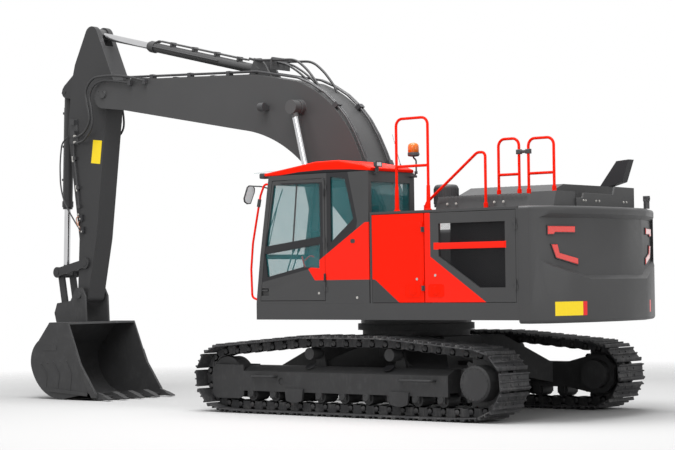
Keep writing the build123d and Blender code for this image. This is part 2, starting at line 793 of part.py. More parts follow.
with BuildPart() as handrails:
    rail_frame(-1253, -778, frame_half_width - 83, body_top, body_top, body_top + 1117,
               body_top + 540)
    y = frame_half_width - 263
    pipe([(-1080, y, body_top), (-1080, y, body_top + 90), (-1845, y, body_top + 668),
          (-1961, y, body_top + 668), (-1961, y, body_top)], rail_r, rail_bend)
    for x in (-1080, -1961):
        post(x, y, body_top, body_top + sleeve_height, sleeve)
    y = (walk_inner + walk_outer) / 2
    rail_frame(-2238, -1944, y, walk_top, walk_top, walk_top + 675, walk_top + 250)
    rail_frame(-2726, -2371, y, walk_end_top, walk_top, walk_top + 662, walk_top + 250)
    # Over the tool box on the right
    pipe([(1030, -1390, 1680), (1030, -1390, 2560), (640, -1390, 2560), (640, -1390, 1950)],
         rail_r, rail_bend)
    # Grab rail in front of the cab door, its ends cut at the cab
    y = frame_half_width - 23
    pipe([(1180, y, 2880), (1299, y, 2929), (1376, y, 2772), (1514, y, 2167), (1548, y, 1833),
          (1535, y, 1473), (1400, y, 1430)], rail_r - 3, 60)
    side_slab(cab_profile, frame_half_width - 60, frame_half_width, Mode.SUBTRACT)
keep(handrails, "handrails")

# Cab: a hollow shell, its door, roof and inside
cab_low, cab_high = frame_top + seat_gap, cab_height
cab_inside = [
    (cab_rear + cab_wall, cab_low + cab_floor), (frame_front - cab_wall, cab_low + cab_floor),
    (1372 - cab_wall, 2000), (1215 - cab_wall, cab_high - cab_wall),
    (cab_rear + cab_wall, cab_high - cab_wall),
]
# Door opening on the left wall, and the door that fills it
opening = [
    (pillar_line + 12, cab_low + 30), (frame_front - 70, cab_low + 30), (1372 - 66, 2000),
    (1215 - 58, cab_high - 60), (pillar_line + 12, cab_high - 60),
]
door_outline = [
    (pillar_line + 12 + door_gap, cab_low + 30 + door_gap),
    (frame_front - 70 - door_gap, cab_low + 30 + door_gap), (1372 - 66 - door_gap, 2000),
    (1215 - 58 - door_gap, cab_high - 60 - door_gap),
    (pillar_line + 12 + door_gap, cab_high - 60 - door_gap),
]
# Window outlines on the left wall of the cab, its right wall and the door
quarter_window = [(200, 2960), (-30, 2930), (-160, 2430), (200, 2150)]
right_window = [(-250, 2880), (-250, 2250), (1180, 2100), (1100, 2880)]
upper_window = [(380, 2890), (370, 2225), (1270, 2120), (1130, 2890)]
lower_window = [(380, 2130), (390, 1830), (660, 1850), (1250, 1730), (1290, 2020)]
# Rear window: right and left edge along Y, bottom and top
rear_window = (cab_right + 88, frame_half_width - 63, 2480, 2880)
# Windscreen: heights of its two panes, and its sides
windscreen_panes = ((1600, 1960), (2020, 2900))
screen_right, screen_left = cab_right + 70, frame_half_width - 70
left_inner = frame_half_width - cab_wall
right_inner = cab_right + cab_wall
pane = 6
pane_in = 18


def cab_front(z):
    """X of the cab's front face at a height."""
    low, high = (cab_profile[1], cab_profile[2]) if z < 2000 else (cab_profile[2], cab_profile[3])
    return low[0] + (high[0] - low[0]) * (z - low[1]) / (high[1] - low[1])


cab_hinge = pillar_line + 12 + door_gap / 2
cab_hinge_heights = (1600, 2150, 2860)
with BuildPart() as cab:
    side_slab(cab_profile, cab_right, frame_half_width)
    side_slab(cab_inside, cab_right + cab_wall, frame_half_width - cab_wall, Mode.SUBTRACT)
    side_slab(opening, frame_half_width - cab_wall, frame_half_width, Mode.SUBTRACT)
    # Rear quarter window, left
    side_slab(quarter_window, left_inner, frame_half_width, Mode.SUBTRACT)
    side_slab(right_window, cab_right, right_inner, Mode.SUBTRACT)
    # Rear window and windscreen
    block(cab_rear, cab_rear + cab_wall, *rear_window, Mode.SUBTRACT)
    for low, high in windscreen_panes:
        block(1000, frame_front + 10, screen_right, screen_left, low, high, Mode.SUBTRACT)
    for z in cab_hinge_heights:
        knuckle(cab_hinge, left_hinge_y, z - hinge_length - seat_gap, -40, hinge_length)
keep(cab, "cab_shell")

with BuildPart() as door:
    side_slab(door_outline, frame_half_width - cab_wall, frame_half_width)
    side_slab(upper_window, left_inner, frame_half_width, Mode.SUBTRACT)
    side_slab(lower_window, left_inner, frame_half_width, Mode.SUBTRACT)
    for z in cab_hinge_heights:
        knuckle(cab_hinge, left_hinge_y, z, 40, hinge_length)
    # Recessed handle in the lower corner behind the front edge
    block(1235, 1371, frame_half_width - 26, frame_half_width + 1, 1495, 1588, Mode.SUBTRACT)
    block(1255, 1351, frame_half_width - 26, frame_half_width - 4, 1552, 1572)
keep(door, "cab_door")

with BuildPart() as door_glass:
    for window in (upper_window, lower_window):
        side_slab(window, frame_half_width - pane_in - pane, frame_half_width - pane_in)
keep(door_glass, "door_glass")

roof_outline = [
    (1318, 3050), (1300, cab_high), (cab_rear - 10, cab_high), (cab_rear - 20, 3050),
    (-320, 3090), (100, 3165), (470, 3162),
]
with BuildPart() as cab_glass:
    side_slab(quarter_window, frame_half_width - pane_in - pane, frame_half_width - pane_in)
    side_slab(right_window, cab_right + pane_in, cab_right + pane_in + pane)
    block(cab_rear + pane_in, cab_rear + pane_in + pane, *rear_window)
    for low, high in windscreen_panes:
        front_low, front_high = cab_front(low) - pane_in, cab_front(high) - pane_in
        side_slab(
            [(front_low, low), (front_high, high), (front_high - pane, high),
             (front_low - pane, low)],
            screen_right, screen_left,
        )
    # Clear visor over the windscreen, cut where it lies on the roof
    side_slab(
        [(1150, 3082), (1320, 3084), (1544, 3068), (1543, 3062), (1320, 3076), (1150, 3066)],
        cab_right + 90, frame_half_width - 90,
    )
    side_slab(roof_outline, cab_right + 20, frame_half_width - 20, Mode.SUBTRACT)
keep(cab_glass, "cab_glass")

with BuildPart() as cab_roof:
    side_slab(roof_outline, cab_right + 20, frame_half_width - 20)
    fillet(
        [e for e in cab_roof.edges().group_by(Axis.Y)[-1] + cab_roof.edges().group_by(Axis.Y)[0]
         if e.center().Z > 3060], 30,
    )
keep(cab_roof, "cab_roof")

# Beacon on a stalk and a working lamp, both on brackets behind the cab
beacon_at = (cab_rear - 47, 600)
with BuildPart() as beacon:
    block(cab_rear - 80, cab_rear, beacon_at[1] - 30, beacon_at[1] + 30, 2950, 2980)
    post(*beacon_at, 2980, 3290, 13)
    post(*beacon_at, 3280, 3308, 86)
    post(*beacon_at, 3308, 3388, 70)
    fillet(beacon.edges().filter_by(GeomType.CIRCLE).group_by(Axis.Z)[-1], 26)
    block(cab_rear - 60, cab_rear, 1320, 1380, 2970, 2990)
    block(cab_rear - 60, cab_rear - 42, 1320, 1380, 2990, 3060)
    block(cab_rear - 92, cab_rear - 28, 1290, 1410, 3054, 3128)
keep(beacon, "beacon_and_lamp")

with BuildPart() as mirrors:
    pipe([(1180, 1380, 2850), (1400, 1400, 2895), (1502, 1490, 2895)], 10, 60)
    block(1488, 1514, 1412, 1628, 2660, 2910)
    fillet(mirrors.edges().filter_by(Axis.X).group_by(Axis.Y)[-1], 30)
    side_slab(cab_profile, frame_half_width - 160, frame_half_width, Mode.SUBTRACT)
    # On a stalk on the step in front of the tool box
    pipe([(1330, -1390, 1680), (1330, -1390, 2420), (1330, -1490, 2520)], 12, 60)
    block(1317, 1343, -1580, -1400, 2400, 2640)
keep(mirrors, "mirrors")

console_width = 110
console_right = right_inner + 63
console_left = left_inner - 18 - console_width
seat_right = console_right + console_width + 30
seat_left = console_left - 30
seat_middle = (seat_right + seat_left) / 2
floor_top = cab_low + cab_floor
console_top = 1960
with BuildPart() as cushion:
    block(-60, 440, seat_right, seat_left, 1790, 1925)
    fillet(cushion.edges(), 32)
with BuildPart() as backrest:
    side_slab([(-70, 1880), (60, 1880), (-40, 2430), (-160, 2440)], seat_right, seat_left)
    fillet(backrest.edges(), 28)
with BuildPart() as headrest:
    side_slab([(-150, 2450), (-60, 2445), (-85, 2620), (-165, 2615)], seat_middle - 130,
              seat_middle + 130)
    fillet(headrest.edges(), 24)
with BuildPart() as seat:
    block(0, 380, seat_right + 100, seat_left - 100, floor_top, 1800)
    add(cushion.part)
    add(backrest.part)
    add(headrest.part)
    for y in (seat_middle - 60, seat_middle + 60):
        post(-110, y, 2400, 2500, 8)
keep(seat, "operator_seat")
with BuildPart() as consoles:
    for y in (console_right, console_left):
        block(50, 600, y, y + console_width, floor_top, console_top)
    fillet(consoles.edges().filter_by(Axis.Y).group_by(Axis.Z)[-1], 40)
keep(consoles, "consoles")

# Boom: box of four plates, forked at the tip
foot_r, tip_r = 175, 205


def boom_shape(inset):
    """Side view of the boom as a face, set in by a wall."""
    with BuildSketch(Plane.XZ) as view:
        with BuildLine():
            a = Polyline((86, 2010), (690, 3360))
            b = ThreePointArc(a @ 1, (1095, 3955), (1740, 4352))
            c = Polyline(b @ 1, (2476, 4495), (4523, 4590), (5412, 4636))
            d = ThreePointArc(c @ 1, (5653, 4434), (5501, 4236))
            e = Polyline(d @ 1, (5018, 4175), (2721, 3752))
            f = ThreePointArc(e @ 1, (2110, 3560), (1640, 3235))
            g = Polyline(f @ 1, (1180, 2700), (420, 1905))
            ThreePointArc(g @ 1, (169, 1795), a @ 0)
        make_face()
        if inset:
            offset(amount=-inset, kind=Kind.INTERSECTION)
    return view.sketch


fork_root = 5120
with BuildPart() as boom_hollow:
    extrude(boom_shape(40), amount=boom_half - boom_plate, both=True)
    block(fork_root - 120, 6000, -600, 600, 3900, 5000, Mode.SUBTRACT)
    pin(boom_lift_eye, -600, 600, 130, Mode.SUBTRACT)
    pin(boom_foot, -600, 600, 160, Mode.SUBTRACT)

with BuildPart() as boom:
    extrude(boom_shape(0), amount=boom_half, both=True)
    add(boom_hollow.part, mode=Mode.SUBTRACT)
    block(fork_root, 5900, -arm_half - side_gap, arm_half + side_gap, 4000, 4900, Mode.SUBTRACT)
    pin(boom_foot, -boom_half, boom_half, 60 + pin_fit, Mode.SUBTRACT)
    pin(boom_lift_eye, -boom_half - 70, boom_half + 70, 105)
    for low in (-arm_barrel - side_gap - 35, arm_barrel + side_gap):
        side_slab(
            [(2330, 4450), (2450, 4640), (2530, 4740), (2650, 4745), (2760, 4500)],
            low, low + 35,
        )
    pin(arm_lift_foot, -arm_barrel - side_gap - 50, arm_barrel + side_gap + 50, 45)
    pin(boom_tip, -boom_half - 25, boom_half + 25, 55)
keep(boom, "boom")

# Steel lines along the boom's back and top on both sides
line_lift = 45             # line centres over the boom's plates
back_route = [
    (140, 2225), (648, 3372), (765, 3600), (905, 3815), (1063, 3991), (1270, 4165), (1500, 4300),
    (1730, 4398), (2467, 4495 + line_lift), (4522, 4590 + line_lift), (5060, 4615 + line_lift),
]
line_y = (boom_half - 62, boom_half - 20)
clamp_at = (2960, 3700, 4440, 4980)
with BuildPart() as lines_left:
    for y in line_y:
        pipe([(x, y, z) for x, z in back_route], 15, 220)
    for x in clamp_at:
        top = 4495 + (x - 2476) * 95 / 2047
        block(x, x + 60, line_y[0] - 24, boom_half, top - 30, top + line_lift + 22)
    for low, high in (((560, 3200), (590, 3260)), ((1040, 3990), (1085, 4035))):
        side_slab(
            [(low[0] - 20, low[1]), (high[0] - 20, high[1]), (high[0] + 60, high[1] - 50),
             (low[0] + 60, low[1] - 50)],
            line_y[0] - 24, boom_half,
        )
    extrude(boom_shape(0), amount=boom_half, both=True, mode=Mode.SUBTRACT)
both_sides(lines_left, "boom_lines")

# Hoses that rise from the boom to the arm cylinder, with the plate that holds them
hose_y = 172
arch_plate = 2262
with BuildPart() as boom_hoses:
    for y in (-hose_y, hose_y):
        pipe([(1360, y, 4100), (1560, y, 4380), (1800, y, 4625), (2040, y, 4705),
              (2480, y, 4702), (2760, y, 4760)], 17, 160)
    for y in (-62, 62):
        pipe([(1440, y, 4160), (1670, y, 4330), (1872, y, 4494), (2093, y, 4622),
              (arch_plate + 6, y, 4666)], 15, 140)
    side_slab([(arch_plate, 4400), (arch_plate + 14, 4400), (arch_plate + 14, 4730),
               (arch_plate, 4730)], -hose_y - 26, hose_y + 26)
    extrude(boom_shape(0), amount=boom_half, both=True, mode=Mode.SUBTRACT)
keep(boom_hoses, "boom_hoses")

# Hoses from the boom's lines round the tip towards the arm, outside the fork
tip_hose_y = boom_half + 42
with BuildPart() as tip_left:
    pipe([(4560, tip_hose_y, 4560), (4875, tip_hose_y, 4648), (5290, tip_hose_y, 4700),
          (5640, tip_hose_y, 4690), (5800, tip_hose_y, 4510), (5740, tip_hose_y, 4281),
          (5690, tip_hose_y, 4060), (5830, tip_hose_y, 3900), (6060, tip_hose_y, 3850)], 17, 110)
    pipe([(4860, tip_hose_y, 4560), (5390, tip_hose_y, 4640), (5610, tip_hose_y, 4590),
          (5715, tip_hose_y, 4430), (5650, tip_hose_y, 4200), (5640, tip_hose_y, 3960),
          (5851, tip_hose_y, 3780), (6060, tip_hose_y, 3765)], 15, 110)
    for x, z in ((4540, 4520), (4840, 4520)):
        block(x, x + 50, boom_half, tip_hose_y + 22, z, z + 70)
both_sides(tip_left, "tip_hoses")

# Round working lamp on the left of the boom
with BuildPart() as boom_lamp:
    block(2230, 2290, boom_half, boom_half + 40, 4000, 4060)
    with Locations((2285, boom_half + 84, 4035)):
        Cylinder(58, 92, rotation=(0, 90, 0))
keep(boom_lamp, "boom_lamp")

# Boom cylinders


def cylinder_barrel(foot, eye, y, radius, bore, gland, eye_half, pin_radius, eye_radius):
    """Barrel with its foot eye, open at the gland for the rod."""
    shaft(foot, eye, y, radius, pin_radius + 22, gland)
    pin(foot, y - eye_half, y + eye_half, eye_radius)
    shaft(foot, eye, y, bore + 6, 190, gland - 60, Mode.SUBTRACT)
    shaft(foot, eye, y, bore + gland_gap, gland - 70, gland + 1, Mode.SUBTRACT)
    pin(foot, y - eye_half, y + eye_half, pin_radius + pin_fit, Mode.SUBTRACT)


def cylinder_rod(foot, eye, y, radius, inner, eye_half, eye_radius):
    """Rod from inside the barrel to its eye, whose pin is part of it."""
    run = hypot(eye[0] - foot[0], eye[1] - foot[1])
    shaft(foot, eye, y, radius, inner, run - 20)
    pin(eye, y - eye_half, y + eye_half, eye_radius)


boom_gland = 1750
for side, word in ((1, "left"), (-1, "right")):
    y = side * lift_spread
    with BuildPart() as barrel:
        cylinder_barrel(boom_lift_foot, boom_lift_eye, y, boom_barrel, boom_rod,
                        boom_gland, 55, 45, boom_barrel + 22)
    keep(barrel, "boom_barrel_" + word)
    with BuildPart() as rod:
        cylinder_rod(boom_lift_foot, boom_lift_eye, y, boom_rod, 1000, 62, 95)
    keep(rod, "boom_rod_" + word)

# Arm: box of plates from its top pin to the bucket pin


def arm_shape():
    """Side view of the arm as a face."""
    with BuildSketch(Plane.XZ) as view:
        with BuildLine():
            a = ThreePointArc((5700, 5400), (5830, 5478), (5935, 5405))
            b = Polyline(a @ 1, (6175, 4936), (6255, 4651), (6330, 3950), (6106, 2348),
                         (6148, 1520))
            c = ThreePointArc(b @ 1, (6040, 1400), (5928, 1500))
            d = Polyline(c @ 1, (5746, 2339), (5552, 3857), (5500, 4272))
            e = ThreePointArc(d @ 1, (5280, 4400), (5300, 4515))
            Polyline(e @ 1, a @ 0)
        make_face()
    return view.sketch


with BuildPart() as arm_hollow:
    side_slab(
        [
            (5400, 4640), (5570, 5010), (6090, 5010), (6215, 4640), (6290, 3950), (6070, 2380),
            (6040, 2110), (5800, 2110), (5775, 2380), (5590, 3857), (5535, 4290),
        ],
        -arm_half + arm_plate, arm_half - arm_plate,
    )
    pin(boom_tip, -300, 300, 120, Mode.SUBTRACT)

with BuildPart() as arm:
    extrude(arm_shape(), amount=arm_half, both=True)
    add(arm_hollow.part, mode=Mode.SUBTRACT)
    pin(boom_tip, -arm_half, arm_half, 55 + pin_fit, Mode.SUBTRACT)
    # Fork for the arm cylinder's eye
    block(5500, 6100, -80, 80, 5180, 5600, Mode.SUBTRACT)
    pin(rocker_pin, -arm_half - side_gap - rocker_plate - 6,
        arm_half + side_gap + rocker_plate + 6, 42)
    # Ears of the bucket cylinder
    for low in (-bucket_barrel - side_gap - 32, bucket_barrel + side_gap):
        side_slab(
            [(6200, 4850), (6480, 4640), (6530, 4540), (6460, 4470), (6260, 4430)],
            low, low + 32,
        )
    pin(bucket_lift_foot, -bucket_barrel - side_gap - 42, bucket_barrel + side_gap + 42, 38)
    pin(bucket_pin, -arm_half, arm_half, 46 + pin_fit, Mode.SUBTRACT)
keep(arm, "arm")

# Bracket and steel lines on the arm's sides, hoses in front of it
arm_line_y = arm_half + 22
with BuildPart() as arm_left:
    side_slab([(6120, 4120), (6290, 4140), (6270, 3760), (6100, 3740)], arm_half, arm_half + 12)
    for x, z in ((6150, 4040), (6140, 3880)):
        block(x, x + 70, arm_half + 12, arm_half + 52, z, z + 70)
    pipe([(6190, arm_line_y, 3800), (6190, arm_line_y, 3620), (6120, arm_line_y, 3150),
          (6085, arm_line_y, 2820)], 12, 120)
    for x, z in ((6136, 3520), (6072, 3080), (6055, 2800)):
        block(x, x + 60, arm_half, arm_line_y + 16, z, z + 46)
both_sides(arm_left, "arm_lines")

arm_gland = 2230
line_spread = 30
line_start, line_end = 300, 2030
with BuildPart() as barrel:
    cylinder_barrel(arm_lift_foot, arm_lift_eye, 0, arm_barrel, arm_rod, arm_gland,
                    arm_barrel - 4, 45, arm_foot_radius)
    # Steel lines over its top and along its left side, with their clamps
    for y in (-line_spread, line_spread):
        route = [(line_start, 104), (line_end, 104), (line_end + 90, 60)]
        pipe([(x, y, z) for x, z in turned(route, arm_lift_foot, arm_lift_eye)], 13, 60)
    route = [(line_start + 480, 8), (line_end, 8), (line_end + 70, 8)]
    side = [(x, arm_barrel + 12, z) for x, z in turned(route, arm_lift_foot, arm_lift_eye)]
    pipe(side, 11, 60)
    for u in range(line_start + 130, line_end, 440):
        clamp = turned([(u, 60), (u + 34, 60), (u + 34, 124), (u, 124)],
                       arm_lift_foot, arm_lift_eye)
        side_slab(clamp, -line_spread - 18, line_spread + 18)
    # Head with its bolted flange
    shaft(arm_lift_foot, arm_lift_eye, 0, arm_barrel + 16, arm_gland - 130, arm_gland - 40)
    shaft(arm_lift_foot, arm_lift_eye, 0, arm_rod + gland_gap, arm_gland - 131, arm_gland + 1,
          Mode.SUBTRACT)
keep(barrel, "arm_barrel")
with BuildPart() as rod:
    cylinder_rod(arm_lift_foot, arm_lift_eye, 0, arm_rod, 1300, 70, 90)
keep(rod, "arm_rod")

# Bucket cylinder, rockers and link
bucket_gland = 1760
with BuildPart() as barrel:
    cylinder_barrel(bucket_lift_foot, upper_link_pin, 0, bucket_barrel, bucket_rod,
                    bucket_gland, bucket_barrel - 4, 38, bucket_barrel + 22)
    # Steel line along its front
    route = [(230, 96), (1540, 96), (1620, 60)]
    line = [(x, 0, z) for x, z in turned(route, bucket_lift_foot, upper_link_pin)]
    pipe(line, 12, 60)
    for u in (300, 800, 1300):
        clamp = turned([(u, 60), (u + 34, 60), (u + 34, 112), (u, 112)],
                       bucket_lift_foot, upper_link_pin)
        side_slab(clamp, -24, 24)
    shaft(bucket_lift_foot, upper_link_pin, 0, bucket_barrel + 12, bucket_gland - 120,
          bucket_gland - 30)
    shaft(bucket_lift_foot, upper_link_pin, 0, bucket_rod + gland_gap, bucket_gland - 121,
          bucket_gland + 1, Mode.SUBTRACT)
keep(barrel, "bucket_barrel")
with BuildPart() as rod:
    cylinder_rod(bucket_lift_foot, upper_link_pin, 0, bucket_rod, 1050, 50, 82)
keep(rod, "bucket_rod")

rocker_low = arm_half + side_gap
rocker_run = hypot(upper_link_pin[0] - rocker_pin[0], upper_link_pin[1] - rocker_pin[1])
with BuildPart() as rocker:
    side_slab(
        turned([(0, -62), (rocker_run, -62), (rocker_run, 62), (0, 62)], rocker_pin,
               upper_link_pin),
        rocker_low, rocker_low + rocker_plate,
    )
    pin(rocker_pin, rocker_low, rocker_low + rocker_plate, 80)
    pin(upper_link_pin, rocker_low, rocker_low + rocker_plate, 80)
    pin(rocker_pin, rocker_low, rocker_low + rocker_plate, 42 + pin_fit, Mode.SUBTRACT)
    pin(upper_link_pin, rocker_low, rocker_low + rocker_plate, 42 + pin_fit, Mode.SUBTRACT)
both_sides(rocker, "rocker_links")

link_run = hypot(link_pin[0] - upper_link_pin[0], link_pin[1] - upper_link_pin[1])
with BuildPart() as bucket_link:
    for low in (-130, 92):
        side_slab(
            turned([(0, -58), (link_run, -58), (link_run, 58), (0, 58)], upper_link_pin, link_pin),
            low, low + 38,
        )
    for side in (-1, 1):
        low = 92 if side > 0 else -rocker_low + side_gap
        pin(upper_link_pin, min(side * 92, side * (rocker_low - side_gap)),
            max(side * 92, side * (rocker_low - side_gap)), 78)
        pin(upper_link_pin, min(side * 92, side * (rocker_low + rocker_plate + 8)),
            max(side * 92, side * (rocker_low + rocker_plate + 8)), 42)
    pin(link_pin, -rocker_low, rocker_low, 76)
keep(bucket_link, "bucket_link")

ear_low = rocker_low + rocker_plate + 8
side_strip = 14            # wear strips and side cutters
with BuildPart() as bucket:
    with BuildSketch(Plane.XZ) as outside:
        with BuildLine():
            a = Polyline((5820, 1120), (5560, 520), (5230, 78), (5230, 40), (5850, 24))
            b = ThreePointArc(a @ 1, (6400, 150), (6615, 480))
            c = ThreePointArc(b @ 1, (6590, 690), (6449, 850))
            Polyline(c @ 1, (6210, 1120), a @ 0)
        make_face()
    extrude(amount=bucket_half, both=True)
    with BuildSketch(Plane.XZ) as inside:
        with BuildLine():
            a = Polyline((5600, 1092), (5100, 1092), (5100, 68), (5850, 52))
            b = ThreePointArc(a @ 1, (6382, 172), (6587, 480))
            c = ThreePointArc(b @ 1, (6562, 678), (6428, 830))
            Polyline(c @ 1, (6197, 1092), a @ 0)
        make_face()
    extrude(amount=bucket_half - bucket_shell, both=True, mode=Mode.SUBTRACT)
    for side in (-1, 1):
        low = bucket_half if side > 0 else -bucket_half - side_strip
        side_slab([(5420, 62), (6230, 112), (6216, 162), (5406, 112)], low, low + side_strip)
        side_slab(
            [(5262, 120), (5232, 44), (5330, 44), (5420, 180), (5640, 560), (5700, 700),
             (5640, 700), (5548, 500)],
            low, low + side_strip,
        )
        low = ear_low if side > 0 else -ear_low - ear_plate
        side_slab(
            [(5900, 1110), (5920, 1500), (5990, 1625), (6110, 1615), (6230, 1430), (6520, 1395),
             (6580, 1250), (6460, 860), (6300, 1000), (6200, 1110)],
            low, low + ear_plate,
        )
    pin(bucket_pin, -ear_low - ear_plate - 25, ear_low + ear_plate + 25, 46)
keep(bucket, "bucket")

tooth_pitch_y = 314
with BuildPart() as teeth:
    for i in range(tooth_count):
        y = (i - (tooth_count - 1) / 2) * tooth_pitch_y
        # Adapter over the lip, and the tooth in front of it
        half = 50 if 0 < i < tooth_count - 1 else 24
        side_slab(
            [(5420, 92), (5240, 118), (5110, 80), (5075, 60), (5075, 22), (5200, 15), (5350, 18),
             (5350, 45), (5430, 45)],
            y - half, y + half,
        )
        side_slab([(5110, 76), (5110, 20), (4985, 14), (4985, 30)], y - 46, y + 46)
    add(bucket.part, mode=Mode.SUBTRACT)
keep(teeth, "bucket_teeth")

for name, piece in finished.items():
    export_step(piece, "parts/" + name + ".step")
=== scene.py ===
"""Crawler excavator: finishes, fine pieces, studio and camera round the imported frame.

Everything is in metres in the frame of the part: +X to the bucket, +Y to the machine's
left, +Z up, with the origin on the ground under the slewing axis.
"""

import json
import logging
import math
from dataclasses import dataclass, field
from enum import Enum

import bmesh
import bpy
import numpy as np
from mathutils import Matrix

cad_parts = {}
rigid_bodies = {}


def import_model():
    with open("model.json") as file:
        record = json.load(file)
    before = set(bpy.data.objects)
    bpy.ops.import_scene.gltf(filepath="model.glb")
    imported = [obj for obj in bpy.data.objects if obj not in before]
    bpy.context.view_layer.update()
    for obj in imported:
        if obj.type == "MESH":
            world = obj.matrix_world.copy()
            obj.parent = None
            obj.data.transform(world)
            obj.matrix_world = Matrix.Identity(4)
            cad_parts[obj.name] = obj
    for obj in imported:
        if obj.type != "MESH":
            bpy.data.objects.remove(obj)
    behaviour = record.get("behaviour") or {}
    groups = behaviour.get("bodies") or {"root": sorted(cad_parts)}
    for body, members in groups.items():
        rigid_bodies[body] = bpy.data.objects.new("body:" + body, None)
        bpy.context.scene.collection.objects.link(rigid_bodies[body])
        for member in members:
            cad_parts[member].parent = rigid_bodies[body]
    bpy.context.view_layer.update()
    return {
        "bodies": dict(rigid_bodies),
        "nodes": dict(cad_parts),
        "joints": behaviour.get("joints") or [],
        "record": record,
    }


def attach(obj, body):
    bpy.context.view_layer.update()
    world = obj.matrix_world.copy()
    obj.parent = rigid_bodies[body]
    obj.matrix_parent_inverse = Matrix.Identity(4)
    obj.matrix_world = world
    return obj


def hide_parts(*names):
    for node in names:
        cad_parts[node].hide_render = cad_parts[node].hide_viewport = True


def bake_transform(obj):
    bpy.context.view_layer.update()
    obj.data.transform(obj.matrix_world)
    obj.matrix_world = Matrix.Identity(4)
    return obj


log = logging.getLogger("excavator")
Colour = tuple[float, float, float]
Point = tuple[float, ...]
UP: Point = (0, 0, 1)
LEFT: Point = (0, 1, 0)
FILM_BACK = 0.0003
FILM_FRONT = 0.0016


# Shader maths


class Value:
    """A shader socket that takes part in Python arithmetic."""

    def __init__(self, graph: "Graph", socket: bpy.types.NodeSocket) -> None:
        """Wrap a socket of a graph."""
        self.graph = graph
        self.socket = socket

    def __add__(self, other: "Value | float") -> "Value":
        """Sum of two values."""
        return self.graph.maths("ADD", self, other)

    def __radd__(self, other: float) -> "Value":
        """Sum with a number on the left."""
        return self.graph.maths("ADD", other, self)

    def __sub__(self, other: "Value | float") -> "Value":
        """Difference of two values."""
        return self.graph.maths("SUBTRACT", self, other)

    def __rsub__(self, other: float) -> "Value":
        """Difference from a number on the left."""
        return self.graph.maths("SUBTRACT", other, self)

    def __mul__(self, other: "Value | float") -> "Value":
        """Product of two values."""
        return self.graph.maths("MULTIPLY", self, other)

    def __rmul__(self, other: float) -> "Value":
        """Product with a number on the left."""
        return self.graph.maths("MULTIPLY", other, self)

    def __truediv__(self, other: "Value | float") -> "Value":
        """Quotient of two values."""
        return self.graph.maths("DIVIDE", self, other)

    def __rtruediv__(self, other: float) -> "Value":
        """Quotient of a number on the left."""
        return self.graph.maths("DIVIDE", other, self)

    def __pow__(self, other: float) -> "Value":
        """Power of a value."""
        return self.graph.maths("POWER", self, other)

    def __rpow__(self, other: float) -> "Value":
        """Power of a number on the left."""
        return self.graph.maths("POWER", other, self)

    def clamped(self) -> "Value":
        """The value held between 0 and 1."""
        return Value(self.graph, self.graph.node("ShaderNodeClamp", {}, {0: self}).outputs[0])


Input = Value | bpy.types.NodeSocket | float | Colour | tuple


